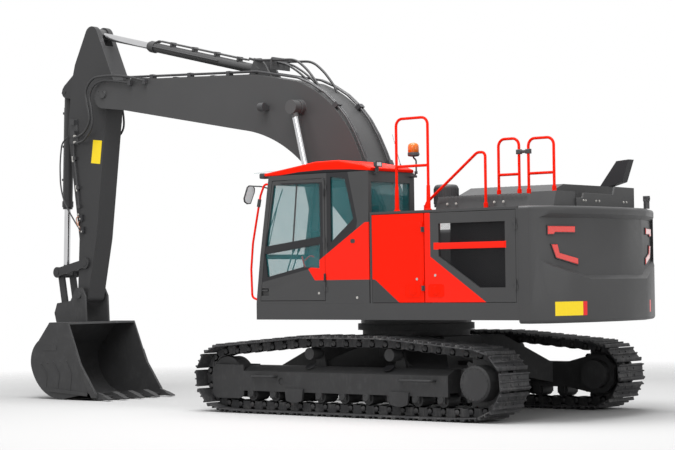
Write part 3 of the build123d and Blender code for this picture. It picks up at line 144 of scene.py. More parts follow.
class Graph:
    """The node tree of one material or world."""

    def __init__(self, name: str, kind: str = "materials") -> None:
        """Start an empty tree in a new material, or in a new world for the kind worlds.

        Args:
            name: name of the material or world.
            kind: materials or worlds.
        """
        self.owner = getattr(bpy.data, kind).new(name)
        self.owner.use_nodes = True
        self.tree = self.owner.node_tree
        self.tree.nodes.clear()

    def node(self, kind: str, settings: dict, inputs: dict) -> bpy.types.Node:
        """Add one node.

        Args:
            kind: Blender's type of the node.
            settings: its properties; "stops" gives a ramp's positions and colours.
            inputs: values or links by the name or number of each socket.

        Returns:
            The new node.
        """
        made = self.tree.nodes.new(kind)
        for key, value in settings.items():
            if key == "stops":
                ramp = made.color_ramp
                while len(ramp.elements) < len(value):
                    ramp.elements.new(1.0)
                for element, (place, colour) in zip(ramp.elements, value):
                    element.position = place
                    element.color = (*colour, 1.0)
            else:
                setattr(made, key, value)
        for key, value in inputs.items():
            self.feed(made.inputs[key], value)
        return made

    def feed(self, socket: bpy.types.NodeSocket, value: Input) -> None:
        """Link a value to a socket, or set the socket's own number or colour.

        Args:
            socket: the socket that takes the value.
            value: a link, a number or a colour.
        """
        if isinstance(value, Value):
            self.tree.links.new(value.socket, socket)
        elif isinstance(value, bpy.types.NodeSocket):
            self.tree.links.new(value, socket)
        elif isinstance(value, tuple) and socket.type == "RGBA":
            socket.default_value = (*value[:3], 1.0)
        else:
            socket.default_value = value

    def maths(self, operation: str, first: Input, second: Input = 0.0) -> Value:
        """One Math node on two values."""
        return Value(self, self.node("ShaderNodeMath", {"operation": operation},
                                     {0: first, 1: second}).outputs[0])

    def place(self) -> bpy.types.NodeSocket:
        """Object coordinates."""
        return self.node("ShaderNodeTexCoord", {}, {}).outputs["Object"]

    def axes(self) -> tuple[Value, Value, Value]:
        """X, Y and Z of the object coordinates."""
        parts = self.node("ShaderNodeSeparateXYZ", {}, {0: self.place()}).outputs
        return Value(self, parts[0]), Value(self, parts[1]), Value(self, parts[2])

    def noise(self, scale: float, detail: float = 2.0, vector: Input | None = None) -> Value:
        """Noise of a number of waves a metre, from 0 to 1.

        Args:
            scale: waves a metre.
            detail: number of finer layers in it.
            vector: what it reads, object coordinates where it is left out.

        Returns:
            The noise.
        """
        made = self.node("ShaderNodeTexNoise", {}, {
            "Vector": self.place() if vector is None else vector,
            "Scale": scale, "Detail": detail, "Roughness": 0.55})
        return Value(self, made.outputs["Fac"])

    def cells(self, scale: float) -> Value:
        """Distance to the nearest point of scattered cells."""
        made = self.node("ShaderNodeTexVoronoi", {}, {"Vector": self.place(), "Scale": scale})
        return Value(self, made.outputs["Distance"])

    def stretched(self, scale: Point) -> bpy.types.NodeSocket:
        """Object coordinates multiplied along each axis."""
        return self.node("ShaderNodeMapping", {}, {"Vector": self.place(), "Scale": scale}).outputs[0]

    def mix(self, share: Input, first: Input, second: Input) -> bpy.types.NodeSocket:
        """Blend two colours by a share.

        Args:
            share: 0 gives the first colour and 1 the second.
            first: first colour.
            second: second colour.

        Returns:
            The socket of the blended colour.
        """
        made = self.node("ShaderNodeMix", {"data_type": "RGBA"}, {})
        self.feed(made.inputs[0], share)
        self.feed(made.inputs[6], first)
        self.feed(made.inputs[7], second)
        return made.outputs[2]

    def bump(self, height: Input, depth: float, strength: float = 1.0) -> bpy.types.NodeSocket:
        """Normal of a relief that is depth metres high."""
        return self.node("ShaderNodeBump", {}, {
            "Height": height, "Distance": depth, "Strength": strength}).outputs[0]

    def surface(self, inputs: dict) -> bpy.types.Material:
        """Close the tree with a Principled surface and return the material.

        Args:
            inputs: values and links by the name of the socket.

        Returns:
            The material.
        """
        shader = self.node("ShaderNodeBsdfPrincipled", {}, inputs)
        self.node("ShaderNodeOutputMaterial", {}, {"Surface": shader.outputs[0]})
        return self.owner


# Finishes


def shade(colour: Colour, share: float) -> Colour:
    """A colour made lighter or darker by a share."""
    return tuple(min(1.0, part * share) for part in colour)


RED_TONE: Colour = (0.90, 0.012, 0.001)
GREY_TONE: Colour = (0.056, 0.056, 0.057)
BLACK_TONE: Colour = (0.022, 0.022, 0.024)
ZONE_STEEPNESS = 2000.0
EYE_STEEPNESS = 900.0


@dataclass(frozen=True)
class Finish:
    """What every finish has: a name, and the record's material slot of the pieces that wear it; the slot is
    not used.
    """

    name: str
    slot: str = field(default="grey_paint", kw_only=True)

    def inputs(self, g: Graph) -> dict:
        """Values and links of the Principled surface, by the name of the socket."""
        raise NotImplementedError

    def build(self) -> bpy.types.Material:
        """Make the material."""
        g = Graph(self.name)
        return g.surface(self.inputs(g))


@dataclass(frozen=True)
class Zone:
    """Convex areas of a side view, X and Z, that carry a second colour."""

    colour: Colour
    areas: tuple[tuple[Point, ...], ...]

    def share(self, graph: Graph) -> Value:
        """1 inside any of the areas and 0 outside.

        Each area is where the signed distances to all its edges are positive, so the mask
        is the largest over the areas of the smallest of those distances, made steep.

        Args:
            graph: the tree that the mask is made in.

        Returns:
            The mask.
        """
        x, _, z = graph.axes()
        whole = None
        for area in self.areas:
            centre = np.mean(area, axis=0)
            inside = None
            for a, b in zip(area, area[1:] + area[:1]):
                across = np.array([a[1] - b[1], b[0] - a[0]]) / math.dist(a, b)
                if across @ (centre - np.array(a)) < 0:
                    across = -across
                away = x * float(across[0]) + z * float(across[1]) - float(across @ np.array(a))
                inside = away if inside is None else graph.maths("MINIMUM", inside, away)
            whole = inside if whole is None else graph.maths("MAXIMUM", whole, inside)
        return (whole * ZONE_STEEPNESS + 0.5).clamped()


@dataclass(frozen=True)
class Paint(Finish):
    """Sprayed paint on plate, with orange peel, slight mottling and dust in the gloss."""

    colour: Colour
    roughness: float = 0.42
    coat: float = 0.05
    gloss: float = 0.20
    mottling: float = 0.10
    peel: float = 0.00035
    zones: tuple[Zone, ...] = ()

    def inputs(self, g: Graph) -> dict:
        """Inputs of its surface.

        Args:
            g: the tree of its material.

        Returns:
            Values and links by the name of the socket.
        """
        broad = g.noise(1.7, 4.0)
        tone = g.mix(broad, shade(self.colour, 1 - self.mottling), shade(self.colour, 1 + self.mottling))
        for zone in self.zones:
            tone = g.mix(zone.share(g), tone, zone.colour)
        dull = g.noise(9.0, 5.0)
        skin = g.noise(330.0, 1.0) + g.noise(42.0, 2.0) * 0.6
        return {
            "Base Color": tone,
            "Roughness": self.roughness - 0.06 + dull * 0.14,
            "Specular IOR Level": self.gloss,
            "Coat Weight": self.coat,
            "Coat Roughness": 0.16,
            "Normal": g.bump(skin, self.peel, 0.55),
        }


@dataclass(frozen=True)
class Steel(Finish):
    """Rough painted or bare dark steel of undercarriage pieces, with cast grain and scuffs."""

    colour: Colour
    worn: Colour
    slot: str = field(default="black_steel", kw_only=True)
    wear: float = 0.35
    grain: float = 0.0011

    def inputs(self, g: Graph) -> dict:
        """Inputs of its surface.

        Args:
            g: the tree of its material.

        Returns:
            Values and links by the name of the socket.
        """
        patches = g.noise(5.5, 6.0)
        scuffs = g.noise(38.0, 6.0, g.stretched((1.0, 1.0, 0.35)))
        worn = ((scuffs * patches - 0.24) * (7.0 * self.wear)).clamped()
        tone = g.mix(patches, shade(self.colour, 0.82), shade(self.colour, 1.18))
        tone = g.mix(worn, tone, self.worn)
        relief = g.noise(95.0, 3.0) + g.noise(17.0, 3.0) * 1.4
        return {
            "Base Color": tone,
            "Metallic": worn * 0.5,
            "Roughness": 0.56 - worn * 0.16 + patches * 0.1,
            "Specular IOR Level": 0.3,
            "Normal": g.bump(relief, self.grain, 0.6),
        }


@dataclass(frozen=True)
class Chrome(Finish):
    """Hard chromed rod with fine polishing marks; its eye, within reach of the pin, is painted."""

    colour: Colour = (0.62, 0.62, 0.63)
    eye: Point = (0.0, 0.0)
    reach: float = 0.0

    def inputs(self, g: Graph) -> dict:
        """Inputs of its surface.

        The eye's share is 1 where the distance from the pin, the root of the squares in X
        and Z added up, is under the reach.

        Args:
            g: the tree of its material.

        Returns:
            Values and links by the name of the socket.
        """
        x, _, z = g.axes()
        away = ((x - self.eye[0]) ** 2.0 + (z - self.eye[1]) ** 2.0) ** 0.5
        painted = ((self.reach - away) * EYE_STEEPNESS + 0.5).clamped()
        marks = g.noise(420.0, 2.0)
        film = g.noise(7.0, 4.0)
        bright = g.mix(film, shade(self.colour, 0.86), self.colour)
        return {
            "Base Color": g.mix(painted, bright, GREY_TONE),
            "Metallic": 1.0 - painted,
            "Roughness": 0.12 + film * 0.1 + painted * 0.25,
            "Normal": g.bump(marks, 0.00006, 0.3),
        }


@dataclass(frozen=True)
class Moulding(Finish):
    """Moulded plastic or rubber with a fine leather-like grain."""

    colour: Colour
    slot: str = field(default="trim_plastic", kw_only=True)
    roughness: float = 0.55
    grain: float = 0.0004
    pitch: float = 380.0

    def inputs(self, g: Graph) -> dict:
        """Inputs of its surface.

        Args:
            g: the tree of its material.

        Returns:
            Values and links by the name of the socket.
        """
        cells = g.cells(self.pitch)
        film = g.noise(6.0, 4.0)
        return {
            "Base Color": g.mix(film, shade(self.colour, 0.85), shade(self.colour, 1.15)),
            "Roughness": self.roughness - 0.05 + film * 0.12,
            "Normal": g.bump(cells, self.grain, 0.6),
        }


@dataclass(frozen=True)
class Glazing(Finish):
    """Tinted safety glass that shows what is behind it, with faint dust."""

    colour: Colour = (0.010, 0.210, 0.230)
    cover: float = 0.25

    def inputs(self, g: Graph) -> dict:
        """Inputs of its surface.

        Args:
            g: the tree of its material.

        Returns:
            Values and links by the name of the socket.
        """
        dust = g.noise(3.0, 5.0)
        return {
            "Base Color": g.mix(dust, shade(self.colour, 0.8), shade(self.colour, 1.2)),
            "Roughness": 0.04 + dust * 0.05,
            "IOR": 1.5,
            "Coat Weight": 1.0,
            "Coat Roughness": 0.02,
            "Alpha": dust * 0.08 + (self.cover - 0.04),
        }


@dataclass(frozen=True)
class Lens(Finish):
    """Coloured lamp lens with the flutes of its prisms."""

    colour: Colour
    slot: str = field(default="lamp_plastic", kw_only=True)
    glow: float = 0.15
    flutes: float = 180.0
    coat: float = 1.0

    def inputs(self, g: Graph) -> dict:
        """Inputs of its surface.

        Args:
            g: the tree of its material.

        Returns:
            Values and links by the name of the socket.
        """
        flutes = g.cells(self.flutes)
        return {
            "Base Color": g.mix(flutes, self.colour, shade(self.colour, 0.6)),
            "Roughness": 0.16,
            "Coat Weight": self.coat,
            "Emission Color": self.colour,
            "Emission Strength": self.glow,
            "Normal": g.bump(flutes, 0.0012, 0.6),
        }


@dataclass(frozen=True)
class Label(Finish):
    """Blank self-adhesive film, with a slight wave."""

    colour: Colour

    def inputs(self, g: Graph) -> dict:
        """Inputs of its surface.

        Args:
            g: the tree of its material.

        Returns:
            Values and links by the name of the socket.
        """
        wave = g.noise(30.0, 2.0)
        return {
            "Base Color": g.mix(wave, shade(self.colour, 0.95), shade(self.colour, 1.02)),
            "Roughness": 0.3 + wave * 0.08,
            "Normal": g.bump(wave, 0.0003, 0.4),
        }


@dataclass(frozen=True)
class Cloth(Finish):
    """Woven seat cloth: two crossed sets of threads over the surface."""

    colour: Colour
    thread: float = 900.0

    def inputs(self, g: Graph) -> dict:
        """Inputs of its surface.

        Args:
            g: the tree of its material.

        Returns:
            Values and links by the name of the socket.
        """
        x, y, z = g.axes()
        one = g.maths("SINE", (x + z) * self.thread)
        two = g.maths("SINE", y * self.thread)
        weave = one * two * 0.5 + 0.5
        fluff = g.noise(60.0, 4.0)
        return {
            "Base Color": g.mix(weave, shade(self.colour, 0.7), shade(self.colour, 1.5)),
            "Roughness": 0.82 + fluff * 0.1,
            "Sheen Weight": 0.3,
            "Normal": g.bump(weave + fluff * 0.5, 0.0008, 0.6),
        }


CAB_RED = Zone(RED_TONE, (
    ((0.570, 1.820), (0.466, 1.682), (-0.43, 1.682), (-0.43, 2.383), (-0.341, 2.383)),
))
ROOF_DARK = Zone(BLACK_TONE, (
    ((1.34, 2.99), (-0.43, 2.99), (-0.43, 3.012), (-0.10, 3.042), (0.30, 3.056), (0.72, 3.045)),
))
DOOR_BLACK = Zone(BLACK_TONE, (
    ((1.50, 1.633), (0.570, 1.820), (0.327, 1.97), (0.327, 2.90), (1.19, 2.92), (1.36, 2.0)),
))
SHELL_BLACK = Zone(BLACK_TONE, (
    ((0.262, 3.02), (-0.075, 3.02), (-0.222, 2.40), (-0.20, 2.30), (0.262, 1.99)),
))
FRONT_DOOR_RED = Zone(RED_TONE, (
    ((-1.30, 1.682), (-0.40, 1.682), (-0.40, 2.55), (-1.30, 2.55)),
    ((-1.30, 1.690), (-1.30, 1.37), (-0.896, 1.37), (-0.479, 1.690)),
))
GRILLE_DOOR_RED = Zone(RED_TONE, (
    ((-1.330, 1.94), (-1.20, 1.94), (-1.20, 2.55), (-1.330, 2.55)),
    ((-1.325, 1.947), (-1.20, 1.947), (-1.20, 1.37), (-2.175, 1.37)),
    ((-1.380, 2.026), (-2.42, 2.026), (-2.42, 2.108), (-1.380, 2.108)),
))


class Finishes(Enum):
    """The finishes of this machine."""

    GREY = Paint("grey_paint", GREY_TONE)
    RED = Paint("red_paint", RED_TONE, roughness=0.36, coat=0.04, gloss=0.06, mottling=0.03,
                slot="red_paint")
    ROOF = Paint("roof_paint", RED_TONE, roughness=0.36, coat=0.04, gloss=0.06, mottling=0.03,
                 zones=(ROOF_DARK,), slot="red_paint")
    CAB = Paint("cab_paint", GREY_TONE, zones=(SHELL_BLACK, CAB_RED))
    CAB_DOOR = Paint("cab_door_paint", GREY_TONE, zones=(DOOR_BLACK, CAB_RED))
    FRONT_DOOR = Paint("front_door_paint", GREY_TONE, roughness=0.36, coat=0.04, gloss=0.08,
                       zones=(FRONT_DOOR_RED,), slot="red_paint")
    GRILLE_DOOR = Paint("grille_door_paint", GREY_TONE, zones=(GRILLE_DOOR_RED,))
    GEAR = Paint("working_gear_paint", (0.058, 0.058, 0.059), roughness=0.42, mottling=0.08, peel=0.0005)
    ARM = Paint("arm_paint", (0.038, 0.038, 0.039), roughness=0.42, mottling=0.08)
    BLACK = Paint("black_paint", (0.024, 0.024, 0.026), roughness=0.45, mottling=0.15,
                  slot="black_steel")
    LINE = Paint("line_paint", (0.040, 0.040, 0.042), roughness=0.30, coat=0.3, mottling=0.10,
                 slot="black_steel")
    UNDER = Steel("undercarriage_steel", (0.034, 0.034, 0.035), (0.11, 0.11, 0.11), wear=0.15)
    TRACK = Steel("track_steel", (0.036, 0.036, 0.038), (0.16, 0.155, 0.15), wear=0.4, grain=0.0016,
                  slot="track_steel")
    BUCKET = Steel("bucket_steel", (0.042, 0.042, 0.043), (0.10, 0.10, 0.10), wear=0.2, grain=0.0009,
                   slot="grey_paint")
    BOOM_ROD = Chrome("boom_rod_chrome", eye=(1.680, 3.990), reach=0.150)
    ARM_ROD = Chrome("arm_rod_chrome", eye=(5.810, 5.360), reach=0.130)
    BUCKET_ROD = Chrome("bucket_rod_chrome", eye=(6.566, 1.855), reach=0.115)
    # Mirror glass is a flat pale grey film, not a mirror: a painted reflection.
    MIRROR = Label("mirror_face", (0.50, 0.53, 0.54), slot="chrome_rod")
    BARE = Steel("plated_fitting", (0.42, 0.41, 0.39), (0.62, 0.60, 0.56), wear=0.5, grain=0.0004)
    COPPER = Steel("copper_fitting", (0.48, 0.25, 0.17), (0.80, 0.52, 0.40), wear=0.5, grain=0.0004)
    PLASTIC = Moulding("trim_plastic", (0.035, 0.035, 0.037))
    RUBBER = Moulding("hose_rubber", (0.020, 0.020, 0.021), roughness=0.5, grain=0.0003,
                      slot="black_rubber")
    GLASS = Glazing("glazing")
    RED_LENS = Lens("red_lens", (0.78, 0.03, 0.02))
    AMBER_LENS = Lens("amber_lens", (0.80, 0.16, 0.004), glow=0.04, flutes=95.0, coat=0.05)
    CLEAR_LENS = Lens("clear_lens", (0.62, 0.64, 0.66), glow=0.05, flutes=120.0)
    YELLOW = Label("yellow_label", (0.96, 0.70, 0.004))
    RED_LABEL = Label("red_label", (0.78, 0.008, 0.012))
    SCREEN = Glazing("screen", (0.012, 0.015, 0.018), 1.0, slot="glazing")
    SEAT = Cloth("seat_cloth", (0.035, 0.036, 0.040), slot="seat_cloth")


class Palette:
    """Materials, each made once when it is first used."""

    def __init__(self) -> None:
        """Start with none made."""
        self.made: dict[Finishes, bpy.types.Material] = {}

    def get(self, finish: Finishes) -> bpy.types.Material:
        """The material of a finish.

        Args:
            finish: one of the finishes of this machine.

        Returns:
            Its material.
        """
        if finish not in self.made:
            self.made[finish] = finish.value.build()
        return self.made[finish]


# Shapes


@dataclass
class Shape:
    """Points and faces of one surface or of several that lie apart."""

    points: np.ndarray
    faces: list

    def __add__(self, other: "Shape") -> "Shape":
        """Both surfaces in one."""
        moved = [tuple(np.asarray(face) + len(self.points)) for face in other.faces]
        return Shape(np.vstack([self.points, other.points]), self.faces + moved)

    def moved(self, offset: Point) -> "Shape":
        """The shape moved by an offset."""
        return Shape(self.points + np.array(offset), self.faces)

    def mirrored(self) -> "Shape":
        """The shape on the other side of the XZ plane, its faces turned back outwards."""
        return Shape(self.points * (1, -1, 1), [tuple(face[::-1]) for face in self.faces])

    def placed(self, place: np.ndarray) -> "Shape":
        """The shape at a 4x4 matrix, its faces turned back outwards where the matrix mirrors.

        Args:
            place: the matrix.

        Returns:
            The placed shape.
        """
        made = self.repeated(np.asarray(place, float)[None])
        if np.linalg.det(np.asarray(place)[:3, :3]) < 0:
            made.faces = [face[::-1] for face in made.faces]
        return made

    def both_sides(self) -> "Shape":
        """The shape and its mirror image."""
        return self + self.mirrored()

    def repeated(self, places: np.ndarray) -> "Shape":
        """Copies at 4x4 matrices: every point times every matrix, as one array.

        Args:
            places: the matrices, (m, 4, 4).

        Returns:
            One shape that holds all the copies.
        """
        places = np.asarray(places, float)
        wide = np.c_[self.points, np.ones(len(self.points))]
        points = np.einsum("mij,nj->mni", places, wide)[:, :, :3].reshape(-1, 3)
        count = len(self.points)
        faces = []
        for i in range(len(places)):
            faces += [tuple(corner + i * count for corner in face) for face in self.faces]
        return Shape(points, faces)


def join(shapes: list[Shape]) -> Shape:
    """Several shapes as one.

    Args:
        shapes: the shapes, each with points and faces of its own.

    Returns:
        One shape that holds them all.
    """
    offsets = np.cumsum([0] + [len(shape.points) for shape in shapes[:-1]])
    faces = []
    for shape, offset in zip(shapes, offsets):
        faces += [tuple(int(corner) + int(offset) for corner in face) for face in shape.faces]
    return Shape(np.vstack([shape.points for shape in shapes]), faces)


def frame_at(origin: Point, towards: Point, up: Point = UP) -> np.ndarray:
    """A 4x4 matrix whose Z axis looks along towards and whose X axis lies near up.

    Args:
        origin: where its zero point goes.
        towards: direction of its Z axis.
        up: direction that its X axis keeps close to.

    Returns:
        The matrix.
    """
    z = np.array(towards, float) / np.linalg.norm(towards)
    x = np.array(up, float) - z * np.dot(up, z)
    if np.linalg.norm(x) < 1e-6:
        x = np.array((1.0, 0, 0)) - z * z[0]
    x /= np.linalg.norm(x)
    made = np.eye(4)
    made[:3, 0], made[:3, 1], made[:3, 2] = x, np.cross(z, x), z
    made[:3, 3] = origin
    return made


def frames(origins: list[Point], towards: Point) -> np.ndarray:
    """Matrices at several points whose Z axes all look the same way."""
    return np.array([frame_at(origin, towards) for origin in origins])


def circle(count: int, start: float = 0.0) -> np.ndarray:
    """Cosine and sine of angles spaced evenly round a circle."""
    angle = np.linspace(start, 2 * math.pi + start, count, endpoint=False)
    return np.stack([np.cos(angle), np.sin(angle)], -1)


def grid_faces(rows: int, columns: int) -> list:
    """Quads between neighbours of a grid of points, rows first, closed round in each row.

    Args:
        rows: number of rows.
        columns: number of points in a row.

    Returns:
        The quads, as tuples of point numbers.
    """
    r, c = np.meshgrid(np.arange(rows - 1), np.arange(columns), indexing="ij")
    right = (c + 1) % columns
    quads = np.stack([r * columns + c, r * columns + right,
                      (r + 1) * columns + right, (r + 1) * columns + c], -1)
    return [tuple(quad) for quad in quads.reshape(-1, 4).tolist()]


def end_faces(rows: int, columns: int) -> list:
    """The two flat faces that close the first and the last row of a grid."""
    last = (rows - 1) * columns
    return [tuple(range(columns))[::-1], tuple(range(last, last + columns))]


def turned(profile: list[Point], sides: int = 24, place: np.ndarray | None = None) -> Shape:
    """Surface of revolution about Z: each profile point (radius, height) goes round a circle.

    Args:
        profile: radius and height, from the bottom of the outside to the top, ends on the axis
            or closed by a flat face.
        sides: number of steps round.
        place: 4x4 matrix that moves the result.

    Returns:
        The closed surface.
    """
    r, h = np.array(profile, float).T
    x, y = circle(sides).T
    points = np.stack([r[:, None] * x, r[:, None] * y, np.repeat(h[:, None], sides, 1)], -1).reshape(-1, 3)
    faces = grid_faces(len(profile), sides)
    made = Shape(points, faces + end_faces(len(profile), sides))
    return made if place is None else made.repeated(place[None])


def rounded(points: list[Point], radius: float, steps: int = 6) -> np.ndarray:
    """A route with an arc at each inner corner.

    The arc is the quadratic curve from a point before the corner to one after it, sampled
    at even parameters: (1-t)^2 A + 2t(1-t) B + t^2 C.

    Args:
        points: corner points of the route.
        radius: how far from a corner its arc begins, at most.
        steps: number of points on an arc.

    Returns:
        Points of the route, (n, 3).
    """
    points = np.array(points, float)
    before, at, after = points[:-2], points[1:-1], points[2:]
    into = before - at
    out = after - at
    long_in = np.linalg.norm(into, axis=1)[:, None]
    long_out = np.linalg.norm(out, axis=1)[:, None]
    cut = np.minimum(radius, 0.45 * np.minimum(long_in, long_out))
    a, c = at + into / long_in * cut, at + out / long_out * cut
    t = np.linspace(0, 1, steps)[None, :, None]
    arcs = (1 - t) ** 2 * a[:, None] + 2 * t * (1 - t) * at[:, None] + t**2 * c[:, None]
    return np.vstack([points[:1], arcs.reshape(-1, 3), points[-1:]])


def swept(route: np.ndarray, section: np.ndarray, reference: Point | None = None) -> Shape:
    """Carry a closed section along a route.

    Each station is the route's point plus the section's two coordinates along two normals:
    the first is the reference direction made square to the route there, the second is the
    cross product of the route's direction with it.

    Args:
        route: points of the route, (n, 3).
        section: points of the section, (m, 2), anticlockwise.
        reference: direction that the section's first axis keeps close to.

    Returns:
        The closed tube with flat ends.
    """
    along = np.gradient(route, axis=0)
    along /= np.linalg.norm(along, axis=1)[:, None]
    if reference is None:
        reference = np.linalg.svd(along)[2][-1]
    first = np.array(reference, float) - along * (along @ np.array(reference, float))[:, None]
    first /= np.linalg.norm(first, axis=1)[:, None]
    second = np.cross(along, first)
    points = (route[:, None] + first[:, None] * section[None, :, :1]
              + second[:, None] * section[None, :, 1:]).reshape(-1, 3)
    count = len(section)
    return Shape(points, grid_faces(len(route), count) + end_faces(len(route), count))


def ring(radius: float, sides: int = 10) -> np.ndarray:
    """Round section."""
    return radius * circle(sides)


def tube(points: list[Point], radius: float, bend: float = 0.06, sides: int = 10) -> Shape:
    """Round bar along a route with bent corners."""
    return swept(rounded(points, bend), ring(radius, sides))


def wound(outline: list[Point]) -> np.ndarray:
    """A flat outline turned anticlockwise, as its signed area says.

    Args:
        outline: its corner points, in either direction.

    Returns:
        The same points as an array, (n, 2).
    """
    flat = np.array(outline, float)
    area = np.sum(flat[:, 0] * np.roll(flat[:, 1], -1) - np.roll(flat[:, 0], -1) * flat[:, 1])
    return flat if area > 0 else flat[::-1]


def inset(flat: np.ndarray, by: float) -> np.ndarray:
    """An anticlockwise outline moved inwards: each corner goes along the mitre of its two edges.

    Args:
        flat: the outline, (n, 2).
        by: how far; a negative number moves it outwards.

    Returns:
        The moved corner points, (n, 2).
    """
    after, before = np.roll(flat, -1, 0) - flat, flat - np.roll(flat, 1, 0)
    a = after / np.linalg.norm(after, axis=1)[:, None]
    b = before / np.linalg.norm(before, axis=1)[:, None]
    inward = np.stack([-a[:, 1] - b[:, 1], a[:, 0] + b[:, 0]], -1)
    return flat + inward / np.maximum(0.2, 1 + np.sum(a * b, 1))[:, None] * by


def stacked(rings: list, axis: int, closed: bool) -> Shape:
    """Layers of an outline along an axis, joined edge to edge.

    Args:
        rings: pairs of a flat outline and its place along the axis.
        axis: 0, 1 or 2; the outline's two numbers are the other axes in X, Y, Z order.
        closed: True joins the last layer to the first, False closes both ends by a flat face.

    Returns:
        The closed surface.
    """
    others = [k for k in range(3) if k != axis]
    count = len(rings[0][0])
    points = np.empty((len(rings), count, 3))
    for layer, (flat, height) in zip(points, rings):
        layer[:, others[0]], layer[:, others[1]], layer[:, axis] = flat[:, 0], flat[:, 1], height
    faces = grid_faces(len(rings) + closed, count)
    faces = [tuple(corner % (len(rings) * count) for corner in face) for face in faces]
    if not closed:
        faces += end_faces(len(rings), count)
    if axis == 1:
        faces = [face[::-1] for face in faces]
    return Shape(points.reshape(-1, 3), faces)


def plate(outline: list[Point], low: float, high: float, axis: int = 1, bevel: float = 0.0) -> Shape:
    """A flat outline given thickness along an axis, its rims cut back by a bevel.

    Args:
        outline: its corner points.
        low: place of one face along the axis.
        high: place of the other face.
        axis: 0, 1 or 2; the outline's two numbers are the other axes in X, Y, Z order.
        bevel: width of the bevel, 0 for sharp rims.

    Returns:
        The closed plate.
    """
    flat = wound(outline)
    small = inset(flat, bevel)
    rings = [(small, low), (flat, low + bevel), (flat, high - bevel), (small, high)]
    return stacked(rings if bevel else [(flat, low), (flat, high)], axis, False)


def rim(outline: list[Point], wide: float, low: float, high: float, axis: int = 1) -> Shape:
    """A frame of box section that stands outside an outline by a width.

    Args:
        outline: corner points of the opening.
        wide: width of the frame.
        low: place of one face along the axis.
        high: place of the other face.
        axis: 0, 1 or 2; the outline's two numbers are the other axes in X, Y, Z order.

    Returns:
        The closed frame.
    """
    flat = wound(outline)
    outer = inset(flat, -wide)
    return stacked([(flat, low), (outer, low), (outer, high), (flat, high)], axis, True)


def softened_box(low: Point, high: Point, corner: float) -> list[Point]:
    """Outline of a rectangle whose corners are cut by two short edges each.

    Args:
        low: one corner of the rectangle.
        high: the corner across from it.
        corner: how far from a corner its cut begins.

    Returns:
        Corner points of the outline.
    """
    walk = [(corner, 0.0), (corner * 0.3, corner * 0.3), (0.0, corner)]
    made = []
    signs = ((1, 1, -1), (-1, 1, 1), (-1, -1, -1), (1, -1, 1))
    for (x, z), (sx, sz, turn) in zip(rectangle(low, high), signs):
        made += [(x + sx * u, z + sz * v) for u, v in walk[::turn]]
    return made


def rectangle(low: Point, high: Point) -> list[Point]:
    """Outline of a rectangle between two corners."""
    return [(low[0], low[1]), (high[0], low[1]), (high[0], high[1]), (low[0], high[1])]


def bar(low: Point, high: Point, bevel: float = 0.003) -> Shape:
    """A bevelled block between two corners."""
    return plate(rectangle(low[::2], high[::2]), low[1], high[1], 1, bevel)


def film(outline: list[Point], face: float = 0.0) -> Shape:
    """Self-adhesive film just off a face that looks along Y."""
    return plate(outline, face + FILM_BACK, face + FILM_FRONT)


def bolt(radius: float) -> Shape:
    """Hexagonal head on its washer, standing on Z = 0 with a chamfered top.

    Args:
        radius: from the middle of the head to a corner of its hexagon.

    Returns:
        The head and its washer.
    """
    washer = turned([(radius * 1.35, 0), (radius * 1.35, radius * 0.22)], 12)
    head = turned([(radius, radius * 0.22), (radius, radius * 0.8), (radius * 0.82, radius * 0.95)], 6)
    return join([washer, head])


def linked(name: str, data: bpy.types.ID) -> bpy.types.Object:
    """A new object of a mesh, lamp or camera, put into the scene.

    Args:
        name: name of the object.
        data: its mesh, lamp or camera.

    Returns:
        The object.
    """
    made = bpy.data.objects.new(name, data)
    bpy.context.scene.collection.objects.link(made)
    return made


